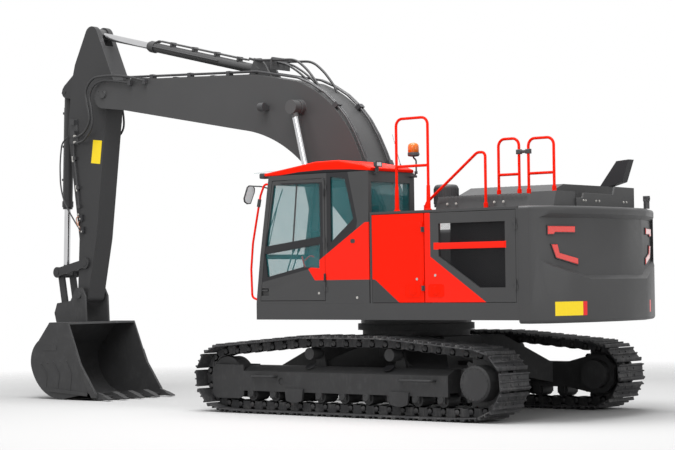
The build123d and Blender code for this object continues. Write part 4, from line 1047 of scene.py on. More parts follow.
class Workshop:
    """Puts finished shapes into the scene, each riding on a body of the frame but those that cross a joint,
    which stay where they are in the world.
    """

    merge_within = 2e-5
    flat_within = math.radians(0.8)
    bevel_above = math.radians(32)
    node_smooth = 30.0

    def __init__(self, frame: dict) -> None:
        """Keep the loaded frame and an empty palette.
        """
        self.frame = frame
        self.palette = Palette()
        self.body = {}
        for body, nodes in frame["record"]["behaviour"]["bodies"].items():
            for node in nodes:
                self.body[node] = body

    def piece(self, name: str, shape: Shape, finish: Finishes, body: str = "upper",
              stands_for: tuple[str, ...] = (), smooth: float = 40.0,
              across: tuple = ()) -> bpy.types.Object:
        """Make one object from a shape.

        Args:
            name: name of the piece.
            shape: its points and faces.
            finish: its finish.
            body: the body that it rides on.
            stands_for: CAD nodes that it replaces.
            smooth: angle in degrees under which neighbouring faces shade as one.
            across: for a piece that crosses a joint, the second body and the points where the
            first body's hold on it ends and the second's begins; only whether it is given is
            read: such a piece stays where it is in the world and rides on no body.

        Returns:
            The object.
        """
        mesh = bpy.data.meshes.new(name)
        mesh.from_pydata(shape.points.tolist(), [], shape.faces)
        mesh.update()
        made = linked(name, mesh)
        self.dress(made, finish, smooth)
        if across:
            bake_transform(made)
        else:
            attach(made, body)
        if stands_for:
            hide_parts(*stands_for)
        log.info("%s on %s: %d faces", name, body, len(mesh.polygons))
        return made

    def bolts(self, name: str, points: list[Point], facing: Point, radius: float, finish: Finishes,
              body: str = "upper", mirrored: bool = False) -> bpy.types.Object:
        """Bolt heads on washers at points of one flat face, and on the other side if mirrored."""
        shape = bolt(radius).repeated(frames(points, facing))
        return self.piece(name, shape.both_sides() if mirrored else shape, finish, body)

    def dress(self, made: bpy.types.Object, finish: Finishes, smooth: float = 40.0) -> None:
        """Give an object its material and smooth shading up to an angle.

        Args:
            made: the object.
            finish: its finish.
            smooth: angle in degrees under which neighbouring faces shade as one.
        """
        made.data.materials.clear()
        made.data.materials.append(self.palette.get(finish))
        made.data.shade_smooth()
        made.data.set_sharp_from_angle(angle=math.radians(smooth))

    def dress_nodes(self, finish: Finishes, *nodes: str) -> None:
        """Give CAD nodes that stay as they are a finish."""
        for node in nodes:
            self.dress(self.frame["nodes"][node], finish)

    def softened(self, node: str, finish: Finishes, width: float) -> bpy.types.Object:
        """Replace a CAD node by its own merged mesh with rounded edges.

        Args:
            node: name of the CAD node.
            finish: its finish.
            width: width of the rounded edges.

        Returns:
            The object that stands for the node.
        """
        mesh = self.frame["nodes"][node].data.copy()
        work = bmesh.new()
        work.from_mesh(mesh)
        bmesh.ops.remove_doubles(work, verts=work.verts, dist=self.merge_within)
        bmesh.ops.dissolve_limit(work, angle_limit=self.flat_within, verts=work.verts, edges=work.edges)
        work.to_mesh(mesh)
        work.free()
        name = node + "_finished"
        mesh.name = name
        made = linked(name, mesh)
        self.dress(made, finish, self.node_smooth)
        soften = made.modifiers.new("bevel", "BEVEL")
        soften.width, soften.segments, soften.limit_method = width, 2, "ANGLE"
        soften.angle_limit = self.bevel_above
        soften.harden_normals = True
        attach(made, self.body[node])
        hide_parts(node)
        log.info("%s stands for %s", name, node)
        return made


# Undercarriage


@dataclass
class Undercarriage:
    """Tracks, rollers, drives and beams."""

    shop: Workshop
    gauge: float = 2.590
    tumbler: float = 4.015
    wheel_height: float = 0.450
    pin_circle: float = 0.330
    carrier_lift: float = 0.897
    carriers: Point = (-0.648, 0.620)
    low_ends: Point = (-1.645, 1.755)
    pin_height: float = 0.102
    shoes: int = 50
    shoe_width: float = 0.600

    def pin_line(self) -> np.ndarray:
        """The closed line through the link pins: tangents between two arcs, two carriers and the ground.

        Returns:
            X and Z of its points, the last the same as the first.
        """
        half = self.tumbler / 2
        wheel = {1: np.array((half, self.wheel_height)), -1: np.array((-half, self.wheel_height))}
        high = {1: np.array((self.carriers[1], self.carrier_lift)),
                -1: np.array((self.carriers[0], self.carrier_lift))}
        low = {1: np.array((self.low_ends[1], self.pin_height)),
               -1: np.array((self.low_ends[0], self.pin_height))}

        def touch(centre: np.ndarray, point: np.ndarray, side: int) -> float:
            """Angle where a line from a point touches a wheel."""
            away = point - centre
            return math.atan2(away[1], away[0]) + side * math.acos(self.pin_circle / np.linalg.norm(away))

        front = np.linspace(touch(wheel[1], low[1], 1), touch(wheel[1], high[1], -1), 61)
        start, end = touch(wheel[-1], high[-1], 1), touch(wheel[-1], low[-1], -1)
        if end < start:
            end += 2 * math.pi
        rear = np.linspace(start, end, 61)
        around = [np.stack([np.cos(a), np.sin(a)], -1) * self.pin_circle for a in (front, rear)]
        return np.vstack([low[-1], low[1], wheel[1] + around[0], high[1], high[-1],
                          wheel[-1] + around[1], low[-1]])

    def pins(self) -> np.ndarray:
        """Link pins, evenly spaced along the closed line.

        Returns:
            X and Z of each pin.
        """
        line = self.pin_line()
        run = np.r_[0, np.cumsum(np.linalg.norm(np.diff(line, axis=0), axis=1))]
        goal = run[-1] * np.arange(self.shoes) / self.shoes
        return np.stack([np.interp(goal, run, line[:, 0]), np.interp(goal, run, line[:, 1])], -1)

    def link_places(self) -> tuple[np.ndarray, float]:
        """A matrix for each link, X along the link and Z outwards, and the pitch.

        Returns:
            The matrices, one for each shoe, and the mean distance between pins.
        """
        pins = self.pins()
        step = np.roll(pins, -1, 0) - pins
        pitch = np.linalg.norm(step, axis=1)
        u = step / pitch[:, None]
        places = np.tile(np.eye(4), (self.shoes, 1, 1))
        places[:, 0, 0], places[:, 2, 0] = u[:, 0], u[:, 1]
        places[:, 0, 2], places[:, 2, 2] = u[:, 1], -u[:, 0]
        places[:, 1, 1] = -1
        places[:, 0, 3], places[:, 2, 3] = pins[:, 0], pins[:, 1]
        return places, float(pitch.mean())

    def build_tracks(self) -> None:
        """Shoes with three grousers, their bolts, and the two rows of links."""
        places, pitch = self.link_places()
        back, face, tip = 0.060, 0.074, 0.1018
        outline = [
            (0.000, back + 0.002), (0.035, back), (pitch - 0.014, back), (pitch + 0.012, back + 0.005),
            (pitch + 0.012, face), (pitch - 0.010, tip - 0.001), (pitch - 0.024, tip),
            (pitch - 0.040, face + 0.003), (pitch * 0.56, face), (pitch * 0.53, tip - 0.004),
            (pitch * 0.47, tip - 0.004), (pitch * 0.44, face), (pitch * 0.16, face + 0.002),
            (pitch * 0.11, tip), (pitch * 0.05, tip - 0.001), (0.004, face - 0.002),
        ]
        half = self.shoe_width / 2
        shoe = plate(outline, -half, half, 1, 0.004)
        heads = bolt(0.0135).repeated(frames([(pitch * x, y, face - 0.001)
                                              for x in (0.30, 0.72) for y in (-0.078, 0.078)], UP))
        ears = []
        for side in (-1, 1):
            inner = side * 0.078
            wide = 0.021
            body = [(-0.045, -0.052), (0.010, -0.052), (pitch * 0.5, -0.040), (pitch - 0.02, -0.052),
                    (pitch + 0.045, -0.050), (pitch + 0.047, 0.018), (pitch - 0.03, 0.040),
                    (pitch - 0.035, 0.060), (0.036, 0.060), (0.03, 0.036), (-0.046, 0.020)]
            ears.append(plate(body, inner - wide, inner + wide, 1, 0.004))
            ears.append(turned([(0.034, -0.030), (0.034, 0.028), (0.026, 0.034)], 14,
                               frame_at((0, side * 0.082, 0), (0, side, 0))))
        link = join([shoe, heads] + ears)
        for side, word in ((1, "left"), (-1, "right")):
            loop = link.repeated(places).moved((0, side * self.gauge / 2, 0))
            self.shop.piece(f"track_{word}_shoes", loop, Finishes.TRACK, "undercarriage",
                        stands_for=(f"track_{word}",))

    def build_drives(self) -> None:
        """Ring of cover bolts on each final drive."""
        face = self.gauge / 2 + 0.262
        x, z, reach = -self.tumbler / 2, self.wheel_height, 0.185
        points = [(x + reach * c, face - 0.004, z + reach * s) for c, s in circle(24)]
        self.shop.bolts("final_drive_bolts", points, LEFT, 0.011, Finishes.UNDER, "undercarriage", True)

    def build_fittings(self) -> None:
        """Ends of the roller shafts, and black dished discs in the sloping beam tops, painted shade of their
        oval recesses.
        """
        side = self.gauge / 2
        places = frames([(x, side + 0.160, 0.245) for x in np.linspace(-1.45, 1.56, 9)], LEFT)
        hub = turned([(0.046, 0), (0.046, 0.010), (0.036, 0.014), (0.030, 0.010), (0.012, 0.012)], 16)
        self.shop.piece("roller_hubs", hub.repeated(places).both_sides(), Finishes.UNDER, "undercarriage")
        # Black dished discs: painted shade where the sloping beam tops have oval recesses.
        shade_discs = [turned([(0.070, 0), (0.070, 0.004), (0.058, 0.004), (0.050, 0.001)], 24,
                        frame_at((x, side + 0.085, 0.607), (0, 0.55, 1))) for x in (-0.62, 0.62)]
        self.shop.piece("beam_recess_shade_discs", join(shade_discs).both_sides(), Finishes.BLACK, "undercarriage")

    def build(self) -> None:
        """Everything below the slewing ring."""
        self.build_tracks()
        self.build_drives()
        self.build_fittings()
        for node in ("cross_frame", "track_frame_left", "track_frame_right"):
            self.shop.softened(node, Finishes.UNDER, 0.004)
        self.shop.dress_nodes(Finishes.UNDER, "bottom_rollers", "carrier_rollers", "final_drives", "idlers",
                              "slew_ring", "sprockets")


# Upper structure


@dataclass
class Platform:
    """Revolving frame, panels, tanks, hood and counterweight."""

    shop: Workshop
    half_width: float = 1.463
    left_face: tuple = ((-2.908, 1.268), (-3.062, 0.660))
    right_face: tuple = ((-2.800, -1.230), (-3.062, -0.600))
    soft: dict = field(default_factory=lambda: {
        "revolving_frame": (Finishes.GREY, 0.004),
        "counterweight": (Finishes.GREY, 0.020),
        "body_shell": (Finishes.GREY, 0.003),
        "left_front_door": (Finishes.FRONT_DOOR, 0.004),
        "left_grille_door": (Finishes.GRILLE_DOOR, 0.003),
        "right_side_door": (Finishes.GREY, 0.004),
        "hydraulic_tank": (Finishes.GREY, 0.008),
        "fuel_tank": (Finishes.GREY, 0.008),
        "tool_box": (Finishes.GREY, 0.006),
        "left_walkway": (Finishes.GREY, 0.006),
        "engine_hood": (Finishes.GREY, 0.012),
    })

    def build_grille(self) -> None:
        """Expanded metal behind the opening of the left rear door.

        The sheet is a staggered grid of diamonds; each strand runs from corner to corner of
        a diamond, and strands outside the opening are left out.
        """
        wide, tall, thick = 0.034, 0.020, 0.0016
        columns = np.arange(-2.41, -1.44, wide)
        rows = np.arange(1.565, 2.34, tall)
        corner = np.array([(1452, 2335), (2405, 2335), (2405, 1570), (2035, 1570), (1452, 1945)]) / 1000
        grid_x, grid_z = np.meshgrid(columns, rows)
        x, z = grid_x.ravel(), grid_z.ravel()
        strands = np.vstack([np.stack([x, z, x + sx * wide / 2, z + sz * tall / 2], -1)
                             for sx in (-1, 1) for sz in (-1, 1)])
        middle = (strands[:, :2] + strands[:, 2:]) / 2
        keep = (middle[:, 0] < -1.450) & (middle[:, 0] > -2.407)
        keep &= (middle[:, 1] > 1.568) & (middle[:, 1] < 2.337)
        slope = (corner[4, 1] - corner[3, 1]) / (corner[3, 0] - corner[4, 0])
        keep &= middle[:, 1] > corner[3, 1] + (middle[:, 0] + corner[3, 0]) * slope
        a, b = strands[keep][:, :2], strands[keep][:, 2:]
        along = (b - a) / np.linalg.norm(b - a, axis=1)[:, None]
        across = np.stack([-along[:, 1], along[:, 0]], -1) * thick
        y = self.half_width - 0.026
        corners = []
        for height in (np.full(len(a), y - 0.0015), np.full(len(a), y + 0.0015)):
            for p, side in ((a, -1), (b, -1), (b, 1), (a, 1)):
                flat = p + across * side
                corners.append(np.stack([flat[:, 0], height, flat[:, 1]], -1))
        points = np.stack(corners, 1).reshape(-1, 3)
        box = [(0, 1, 2, 3), (7, 6, 5, 4), (1, 0, 4, 5), (2, 1, 5, 6), (3, 2, 6, 7), (0, 3, 7, 4)]
        faces = [tuple(corner + 8 * i for corner in face) for i in range(len(a)) for face in box]
        self.shop.piece("left_grille_mesh", Shape(points, faces), Finishes.BLACK, "left_grille_door",
                        stands_for=("door_grille",), smooth=20.0)

    def facet(self, corner: Point, crease: Point, depth: float = 0.0) -> np.ndarray:
        """4x4 matrix of an outer rear face: X from its corner to its crease, Y outwards, Z up.

        Args:
            corner: X and Y of its outer corner.
            crease: X and Y of the edge that it shares with the face beside it.
            depth: how far forwards of the face the plane lies.

        Returns:
            The matrix.
        """
        run = np.array(crease) - np.array(corner)
        along = run / np.linalg.norm(run)
        out = np.array((along[1], -along[0])) * (1 if corner[1] > 0 else -1)
        made = np.eye(4)
        made[:2, 0], made[:2, 1] = along, out
        made[:2, 3] = (corner[0] + depth, corner[1])
        return made

    def build_tail(self) -> None:
        """Lamps in their bezels, blank labels, reflectors, camera, handle and the guard behind the hood."""
        upper = [(0.015, 2.175), (0.100, 2.175), (0.125, 2.199), (0.437, 2.199), (0.437, 2.268),
                 (0.015, 2.268)]
        lower = [(0.139, 1.906), (0.481, 1.827), (0.481, 1.895), (0.189, 1.959), (0.160, 2.057),
                 (0.070, 2.057)]
        lenses, bezels = [], []
        for corner, crease in (self.left_face, self.right_face):
            floor = self.facet(corner, crease, 0.066)
            for outline in (upper, lower):
                lenses.append(plate(outline, 0.002, 0.023, 1, 0.005).placed(floor))
                bezels.append(rim(outline, 0.009, 0.0, 0.015).placed(floor))
        self.shop.piece("rear_lamp_lenses", join(lenses), Finishes.RED_LENS,
                        stands_for=("rear_lamps_and_camera",))
        self.shop.piece("rear_lamp_bezels", join(bezels), Finishes.PLASTIC)
        left, right = self.facet(*self.left_face), self.facet(*self.right_face)
        blank = film(rectangle((0.05, 1.236), (0.487, 1.398)))
        strip = film(rectangle((0.489, 1.236), (0.552, 1.398)))
        other = film(rectangle((0.39, 1.245), (0.49, 1.392)))
        self.shop.piece("tail_blank_label", blank.placed(left), Finishes.YELLOW)
        self.shop.piece("tail_reflectors", strip.placed(left) + other.placed(right), Finishes.RED_LABEL)
        guard = [(0.698, 2.5055), (0.698, 2.604), (0.556, 2.612), (0.530, 2.668), (-0.125, 2.664),
                 (-0.165, 2.760), (-0.604, 2.756), (-0.604, 2.5055)]
        webs = [bar((-2.870, y - 0.006, 2.5055), (-2.868, y + 0.006, 2.60), 0.001) for y in (0.3, -0.4)]
        shape = join([plate(guard, -2.900, -2.872, 0, 0.003)] + webs)
        self.shop.piece("rear_guard", shape, Finishes.GREY)
        holes = [(-2.9, y, 2.577) for y in (0.55, 0.50, 0.27, 0.20, -0.35, -0.42)]
        self.shop.bolts("rear_guard_bolts", holes, (-1, 0, 0), 0.011, Finishes.BARE)
        camera = join([
            bar((-2.980, -0.834, 2.5055), (-2.940, -0.750, 2.615), 0.004),
            bar((-2.994, -0.826, 2.598), (-2.926, -0.758, 2.6625), 0.008),
            turned([(0.022, 0), (0.022, 0.006), (0.016, 0.006), (0.013, 0.001)], 20,
                   frame_at((-2.994, -0.792, 2.630), (-1, 0, 0)))])
        self.shop.piece("rear_camera", camera, Finishes.PLASTIC)
        handle = tube([(-2.80, -0.40, 2.506), (-2.80, -0.42, 2.565), (-2.80, -0.56, 2.575),
                       (-2.80, -0.58, 2.506)], 0.010, 0.03)
        self.shop.piece("tail_handle", handle, Finishes.BARE)

    def build_panels(self) -> None:
        """Lock patches and latches of the doors, and the bolts and grip of the walkway."""
        face = self.half_width
        for low, high, body in (((-1.178, 1.465), (-0.952, 1.616), "left_front_door"),
                                ((-1.524, 1.464), (-1.296, 1.613), "left_grille_door")):
            middle = ((low[0] + high[0]) / 2, (low[1] + high[1]) / 2)
            outline = softened_box(low, high, 0.03)
            heads = [(middle[0] + 0.045 * c, face + 0.0015, middle[1] + 0.045 * s)
                     for c, s in circle(6, 0.3)]
            shape = join([rim(outline, 0.004, face - 0.001, face + 0.0022),
                          plate(outline, face - 0.001, face + 0.0012, 1),
                          turned([(0.062, 0), (0.062, 0.002), (0.058, 0.003)], 24,
                                 frame_at((middle[0], face, middle[1]), LEFT)),
                          bolt(0.0055).repeated(frames(heads, LEFT))])
            self.shop.piece("lock_patch_" + body, shape, Finishes.RED, body)
        cylinder = turned([(0.016, 0), (0.016, 0.003), (0.012, 0.005), (0.010, 0.003), (0.003, 0.003)], 18)
        for name, x, z, body in (("front_door_lock", -1.127, 1.678, "left_front_door"),
                                 ("grille_door_lock", -1.40, 1.72, "left_grille_door"),
                                 ("cab_door_lock", 0.40, 1.52, "cab_door"),
                                 ("cab_side_plug", -0.208, 1.462, "upper")):
            self.shop.piece(name, cylinder.placed(frame_at((x, face, z), LEFT)), Finishes.BARE, body)
        outline = softened_box((-0.176, 2.138), (-0.120, 2.176), 0.012)
        latch = join([rim(outline, 0.006, face - 0.001, face + 0.004),
                      plate(outline, face - 0.001, face + 0.001)])
        self.shop.piece("cab_side_latch", latch, Finishes.PLASTIC)
        self.shop.bolts("walkway_bolts", [(x, 1.160, 2.573) for x in (-1.37, -1.50, -2.054, -2.185)],
                        LEFT, 0.012, Finishes.BARE)
        self.shop.bolts("walkway_rear_bolts", [(x, 1.100, 2.585) for x in (-2.600, -2.640, -2.80, -2.84)],
                        LEFT, 0.010, Finishes.BARE)
        x, y = np.meshgrid(np.arange(-1.24, -2.50, -0.064), np.arange(0.77, 1.15, 0.062), indexing="ij")
        places = np.tile(np.eye(4), (x.size, 1, 1))
        places[:, 0, 3], places[:, 1, 3], places[:, 2, 3] = x.ravel(), y.ravel(), 2.6548
        stud = turned([(0.020, 0), (0.015, 0.010), (0.011, 0.010), (0.009, 0.002)], 10)
        self.shop.piece("walkway_grip", stud.repeated(places), Finishes.GREY)

    def build_rails(self) -> None:
        """Flared feet of the front rail and the clamps of the rear rails and the grab rail."""
        foot = turned([(0.040, 0), (0.040, 0.012), (0.027, 0.02), (0.0215, 0.30)], 20)
        places = frames([(x, 1.380, 2.5005) for x in (-1.253, -0.778)], UP)
        self.shop.piece("rail_feet", foot.repeated(places), Finishes.RED)
        ends = [bar((x, 0.872, 3.140), (x + 0.062, 0.928, 3.195), 0.008) for x in (-2.402, -2.270)]
        clamp = join([bar((-2.400, 0.876, 3.150), (-2.210, 0.924, 3.185), 0.006)] + ends)
        self.shop.piece("rail_clamp", clamp, Finishes.PLASTIC)
        sleeve = tube([(1.3905, 1.440, 2.725), (1.4005, 1.440, 2.680), (1.4115, 1.440, 2.630)],
                      0.023, 0.01, 14)
        self.shop.piece("grab_rail_clamp", sleeve, Finishes.PLASTIC)

    def build_hood(self) -> None:
        """Pressed ribs of the hood, and the louvres of the air cleaner."""
        ribs = [plate(softened_box((x, -0.55), (x + 0.035, 0.35), 0.012), 2.7895, 2.7955, 2, 0.002)
                for x in np.arange(-2.20, -1.45, 0.075)]
        self.shop.piece("hood_ribs", join(ribs), Finishes.GREY, "engine_hood")
        x, y, reach = -1.020, 0.700, 0.150
        places = [frame_at((x + reach * c, y + reach * s, 2.60), UP, (c, s, 0))
                  for c, s in circle(28)]
        fin = bar((-0.002, -0.004, 0.0), (0.006, 0.004, 0.19), 0.001)
        self.shop.piece("cleaner_fins", fin.repeated(np.array(places)), Finishes.PLASTIC)

    def build(self) -> None:
        """Everything on the slewing ring but the cab."""
        for node, (finish, width) in self.soft.items():
            self.shop.softened(node, finish, width)
        self.shop.dress_nodes(Finishes.BLACK, "engine_block", "radiator", "exhaust_stack")
        self.shop.dress_nodes(Finishes.PLASTIC, "air_precleaner")
        self.shop.dress_nodes(Finishes.RED, "handrails")
        self.build_grille()
        self.build_tail()
        self.build_panels()
        self.build_rails()
        self.build_hood()


@dataclass
class Cab:
    """Cab shell, door, roof, glass and what is inside."""

    shop: Workshop

    def on_screen(self, top: float, end: float, y: float, drift: float, off: float,
                  steps: int) -> np.ndarray:
        """A straight route down the sloping windscreen, that drifts aside as it goes.

        Args:
            top: height of its start.
            end: height of its end.
            y: where it starts across the cab.
            drift: metres aside for each metre down.
            off: how far in front of the glass.
            steps: number of points.

        Returns:
            Its points: X falls in a straight line with the height, as the glass does.
        """
        z = np.linspace(top, end, steps)
        return np.stack([1.447 - (z - 1.389) * 0.1464 + off, y + (top - z) * drift, z], -1)

    def build_mirrors(self) -> None:
        """Two mirrors, each a rounded shell with a rim, its glass looking back, on a bent bar; the glass is
        a flat pale grey film, a painted reflection.
        """
        shells, faces = [], []
        left = [(1.500, 2.668), (1.560, 2.662), (1.615, 2.690), (1.626, 2.735), (1.560, 2.885),
                (1.520, 2.908), (1.450, 2.906), (1.416, 2.870), (1.420, 2.820)]
        right = [(-1.575, 2.440), (-1.540, 2.405), (-1.440, 2.405), (-1.405, 2.440), (-1.405, 2.600),
                 (-1.440, 2.635), (-1.540, 2.635), (-1.575, 2.600)]
        for outline, x in ((left, 1.488), (right, 1.317)):
            shells.append(plate(outline, x + 0.004, x + 0.026, 0, 0.010))
            shells.append(rim(list(inset(wound(outline), 0.012)), 0.011, x, x + 0.008, 0))
            faces.append(plate(list(inset(wound(outline), 0.013)), x + 0.002, x + 0.0045, 0))
        arm = tube([(1.240, 1.380, 2.850), (1.400, 1.400, 2.892), (1.495, 1.450, 2.898)], 0.009, 0.03)
        post = tube([(1.330, -1.390, 1.682), (1.330, -1.390, 2.30), (1.330, -1.400, 2.44)], 0.011, 0.04)
        self.shop.piece("mirror_shells", join(shells + [arm, post]), Finishes.PLASTIC,
                        stands_for=("mirrors",))
        self.shop.piece("mirror_painted_reflections", join(faces), Finishes.MIRROR)

    def build_beacon(self) -> None:
        """Beacon on its bent stalk, working lamps behind and before the roof, and the aerial."""
        x, y = -0.447, 0.600
        at = frame_at((x, y, 0), UP)
        lens = turned([(0.064, 3.264), (0.070, 3.272), (0.069, 3.330), (0.064, 3.362), (0.046, 3.380),
                       (0.020, 3.3875), (0.004, 3.388)], 32, at)
        self.shop.piece("beacon_lens", lens, Finishes.AMBER_LENS,
                        stands_for=("beacon_and_lamp",))
        base = turned([(0.030, 3.214), (0.060, 3.218), (0.072, 3.226), (0.074, 3.256), (0.070, 3.266),
                       (0.062, 3.267)], 32, at)
        stalk = tube([(x, y, 3.222), (x, y, 3.200), (-0.487, y, 3.170), (-0.487, y, 3.00),
                      (-0.44, y, 2.968)], 0.011, 0.04)
        foot = bar((-0.480, 0.570, 2.951), (-0.400, 0.630, 2.979), 0.004)
        rack = bar((-0.405, 0.560, 2.955), (-0.380, 0.640, 3.000), 0.003)
        clip = join([bar((-0.505, 0.592, 2.995), (-0.462, 0.608, 3.030), 0.003),
                     plate([(-0.530, 3.236), (-0.400, 3.236), (-0.380, 3.246), (-0.520, 3.252)],
                           0.575, 0.625)])
        lamp_arm = join([bar((-0.460, 1.320, 2.971), (-0.400, 1.380, 2.989), 0.003),
                         bar((-0.460, 1.320, 2.985), (-0.443, 1.380, 3.060), 0.003),
                         rim(rectangle((1.302, 3.066), (1.398, 3.118)), 0.010, -0.4925, -0.478, 0),
                         plate(softened_box((1.296, 3.058), (1.404, 3.126), 0.014),
                               -0.480, -0.430, 0, 0.010)])
        self.shop.piece("beacon_mount", join([base, stalk, foot, rack, clip, lamp_arm]), Finishes.PLASTIC)
        glasses = [plate(rectangle((1.303, 3.067), (1.397, 3.117)), -0.4885, -0.476, 0, 0.003)]
        fronts = []
        for side in (1.350, 0.660):
            fronts.append(plate(softened_box((side - 0.055, 2.990), (side + 0.055, 3.060), 0.016),
                                1.345, 1.430, 0, 0.010))
            fronts.append(bar((1.290, side - 0.012, 2.992), (1.360, side + 0.012, 3.018), 0.002))
            glasses.append(plate(softened_box((side - 0.045, 2.998), (side + 0.045, 3.052), 0.012),
                                 1.428, 1.434, 0, 0.002))
        self.shop.piece("front_lamp_shells", join(fronts), Finishes.PLASTIC)
        self.shop.piece("lamp_lenses", join(glasses), Finishes.CLEAR_LENS)
        whip = turned([(0.010, 0), (0.010, 0.03), (0.0035, 0.05), (0.0018, 0.44)], 10,
                      frame_at((-0.325, 0.700, 3.085), (0.30, 0, 0.95)))
        self.shop.piece("antenna", whip, Finishes.PLASTIC)

    def build_trim(self) -> None:
        """The bar of the sliding window, wiper, roof gutter and door hinges."""
        slide = plate([(0.745, 2.905), (0.765, 2.905), (0.838, 2.165), (0.818, 2.165)], 1.4462, 1.4530, 1)
        self.shop.piece("door_slide_bar", slide, Finishes.PLASTIC, "cab_door")
        blade = swept(self.on_screen(2.86, 2.34, 1.14, 0.33, 0.030, 12), ring(0.007, 8))
        arm = swept(self.on_screen(2.62, 2.04, 1.20, 0.18, 0.040, 8), ring(0.006, 8))
        self.shop.piece("wiper", blade + arm, Finishes.PLASTIC)
        gutter = plate([(1.296, 3.004), (1.300, 3.012), (-0.405, 3.012), (-0.405, 3.004)], 1.4435, 1.4500, 1)
        self.shop.piece("roof_gutter", gutter, Finishes.BLACK)
        hinge = turned([(0.014, 0), (0.014, 0.10), (0.010, 0.104)], 14)
        places = frames([(0.2965, 1.4720, z) for z in (1.66, 2.72)], UP)
        self.shop.piece("cab_door_knuckles", hinge.repeated(places), Finishes.BLACK)

    def build_controls(self) -> None:
        """Joysticks in their gaiters, travel levers with pedals, armrests, screen and safety lever."""
        sticks, buttons, fixed = [], [], []
        gaiter = turned([(0.050, 0), (0.050, 0.008), (0.040, 0.014), (0.043, 0.022), (0.032, 0.030),
                         (0.035, 0.038), (0.022, 0.048), (0.012, 0.060), (0.010, 0.090)], 20)
        grip = turned([(0.014, 0.085), (0.021, 0.100), (0.023, 0.130), (0.019, 0.165), (0.022, 0.190),
                       (0.021, 0.212), (0.012, 0.224)], 18)
        for y in (0.695, 1.345):
            at = frame_at((0.515, y, 1.9605), (0.12, 0, 1))
            sticks += [gaiter.placed(at), grip.placed(at)]
            buttons.append(turned([(0.011, 0.222), (0.011, 0.229), (0.007, 0.232)], 12, at))
            rest = plate(softened_box((0.08, y - 0.045), (0.40, y + 0.045), 0.03), 2.045, 2.095, 2, 0.018)
            fixed += [rest, turned([(0.016, 1.9605), (0.016, 2.05)], 12, frame_at((0.24, y, 0), UP))]
        levers = [tube([(1.300, y, 1.470), (1.270, y, 1.810), (1.165, y, 2.060)], 0.009, 0.05)
                  for y in (0.955, 1.055)]
        knobs = [turned([(0.014, 0), (0.018, 0.02), (0.018, 0.085), (0.012, 0.10)], 14,
                        frame_at((1.170, y, 2.050), (-0.42, 0, 0.9))) for y in (0.955, 1.055)]
        pedals = [plate(softened_box((1.12, y - 0.04), (1.30, y + 0.04), 0.012), 1.462, 1.474, 2, 0.003)
                  for y in (0.945, 1.065)]
        screen = join([plate(softened_box((0.625, 2.180), (0.815, 2.330), 0.016), 1.085, 1.125, 0, 0.008),
                       tube([(1.105, 0.620, 1.95), (1.105, 0.640, 2.20)], 0.012, 0.02)])
        self.shop.piece("control_sticks", join(sticks + levers + knobs), Finishes.PLASTIC)
        self.shop.piece("armrests_and_pedals", join(fixed + pedals + [screen]), Finishes.PLASTIC)
        safety = join([tube(route, radius, 0.04) for route, radius in (
            ([(0.625, 1.345, 1.78), (0.735, 1.345, 1.86), (0.770, 1.345, 1.985)], 0.010),
            ([(0.560, 1.290, 1.948), (0.680, 1.290, 2.000), (0.742, 1.330, 1.930)], 0.008))])
        self.shop.piece("safety_lever", safety + join(buttons), Finishes.RED)
        face = plate(rectangle((0.640, 2.192), (0.800, 2.318)), 1.0828, 1.0852, 0)
        self.shop.piece("screen_face", face, Finishes.SCREEN)

    def build(self) -> None:
        """The whole cab."""
        self.build_mirrors()
        self.build_beacon()
        self.build_trim()
        self.build_controls()
        self.shop.softened("cab_shell", Finishes.CAB, 0.004)
        self.shop.softened("cab_door", Finishes.CAB_DOOR, 0.004)
        self.shop.softened("cab_roof", Finishes.ROOF, 0.018)
        self.shop.dress_nodes(Finishes.GLASS, "cab_glass", "door_glass")
        self.shop.dress_nodes(Finishes.PLASTIC, "consoles")


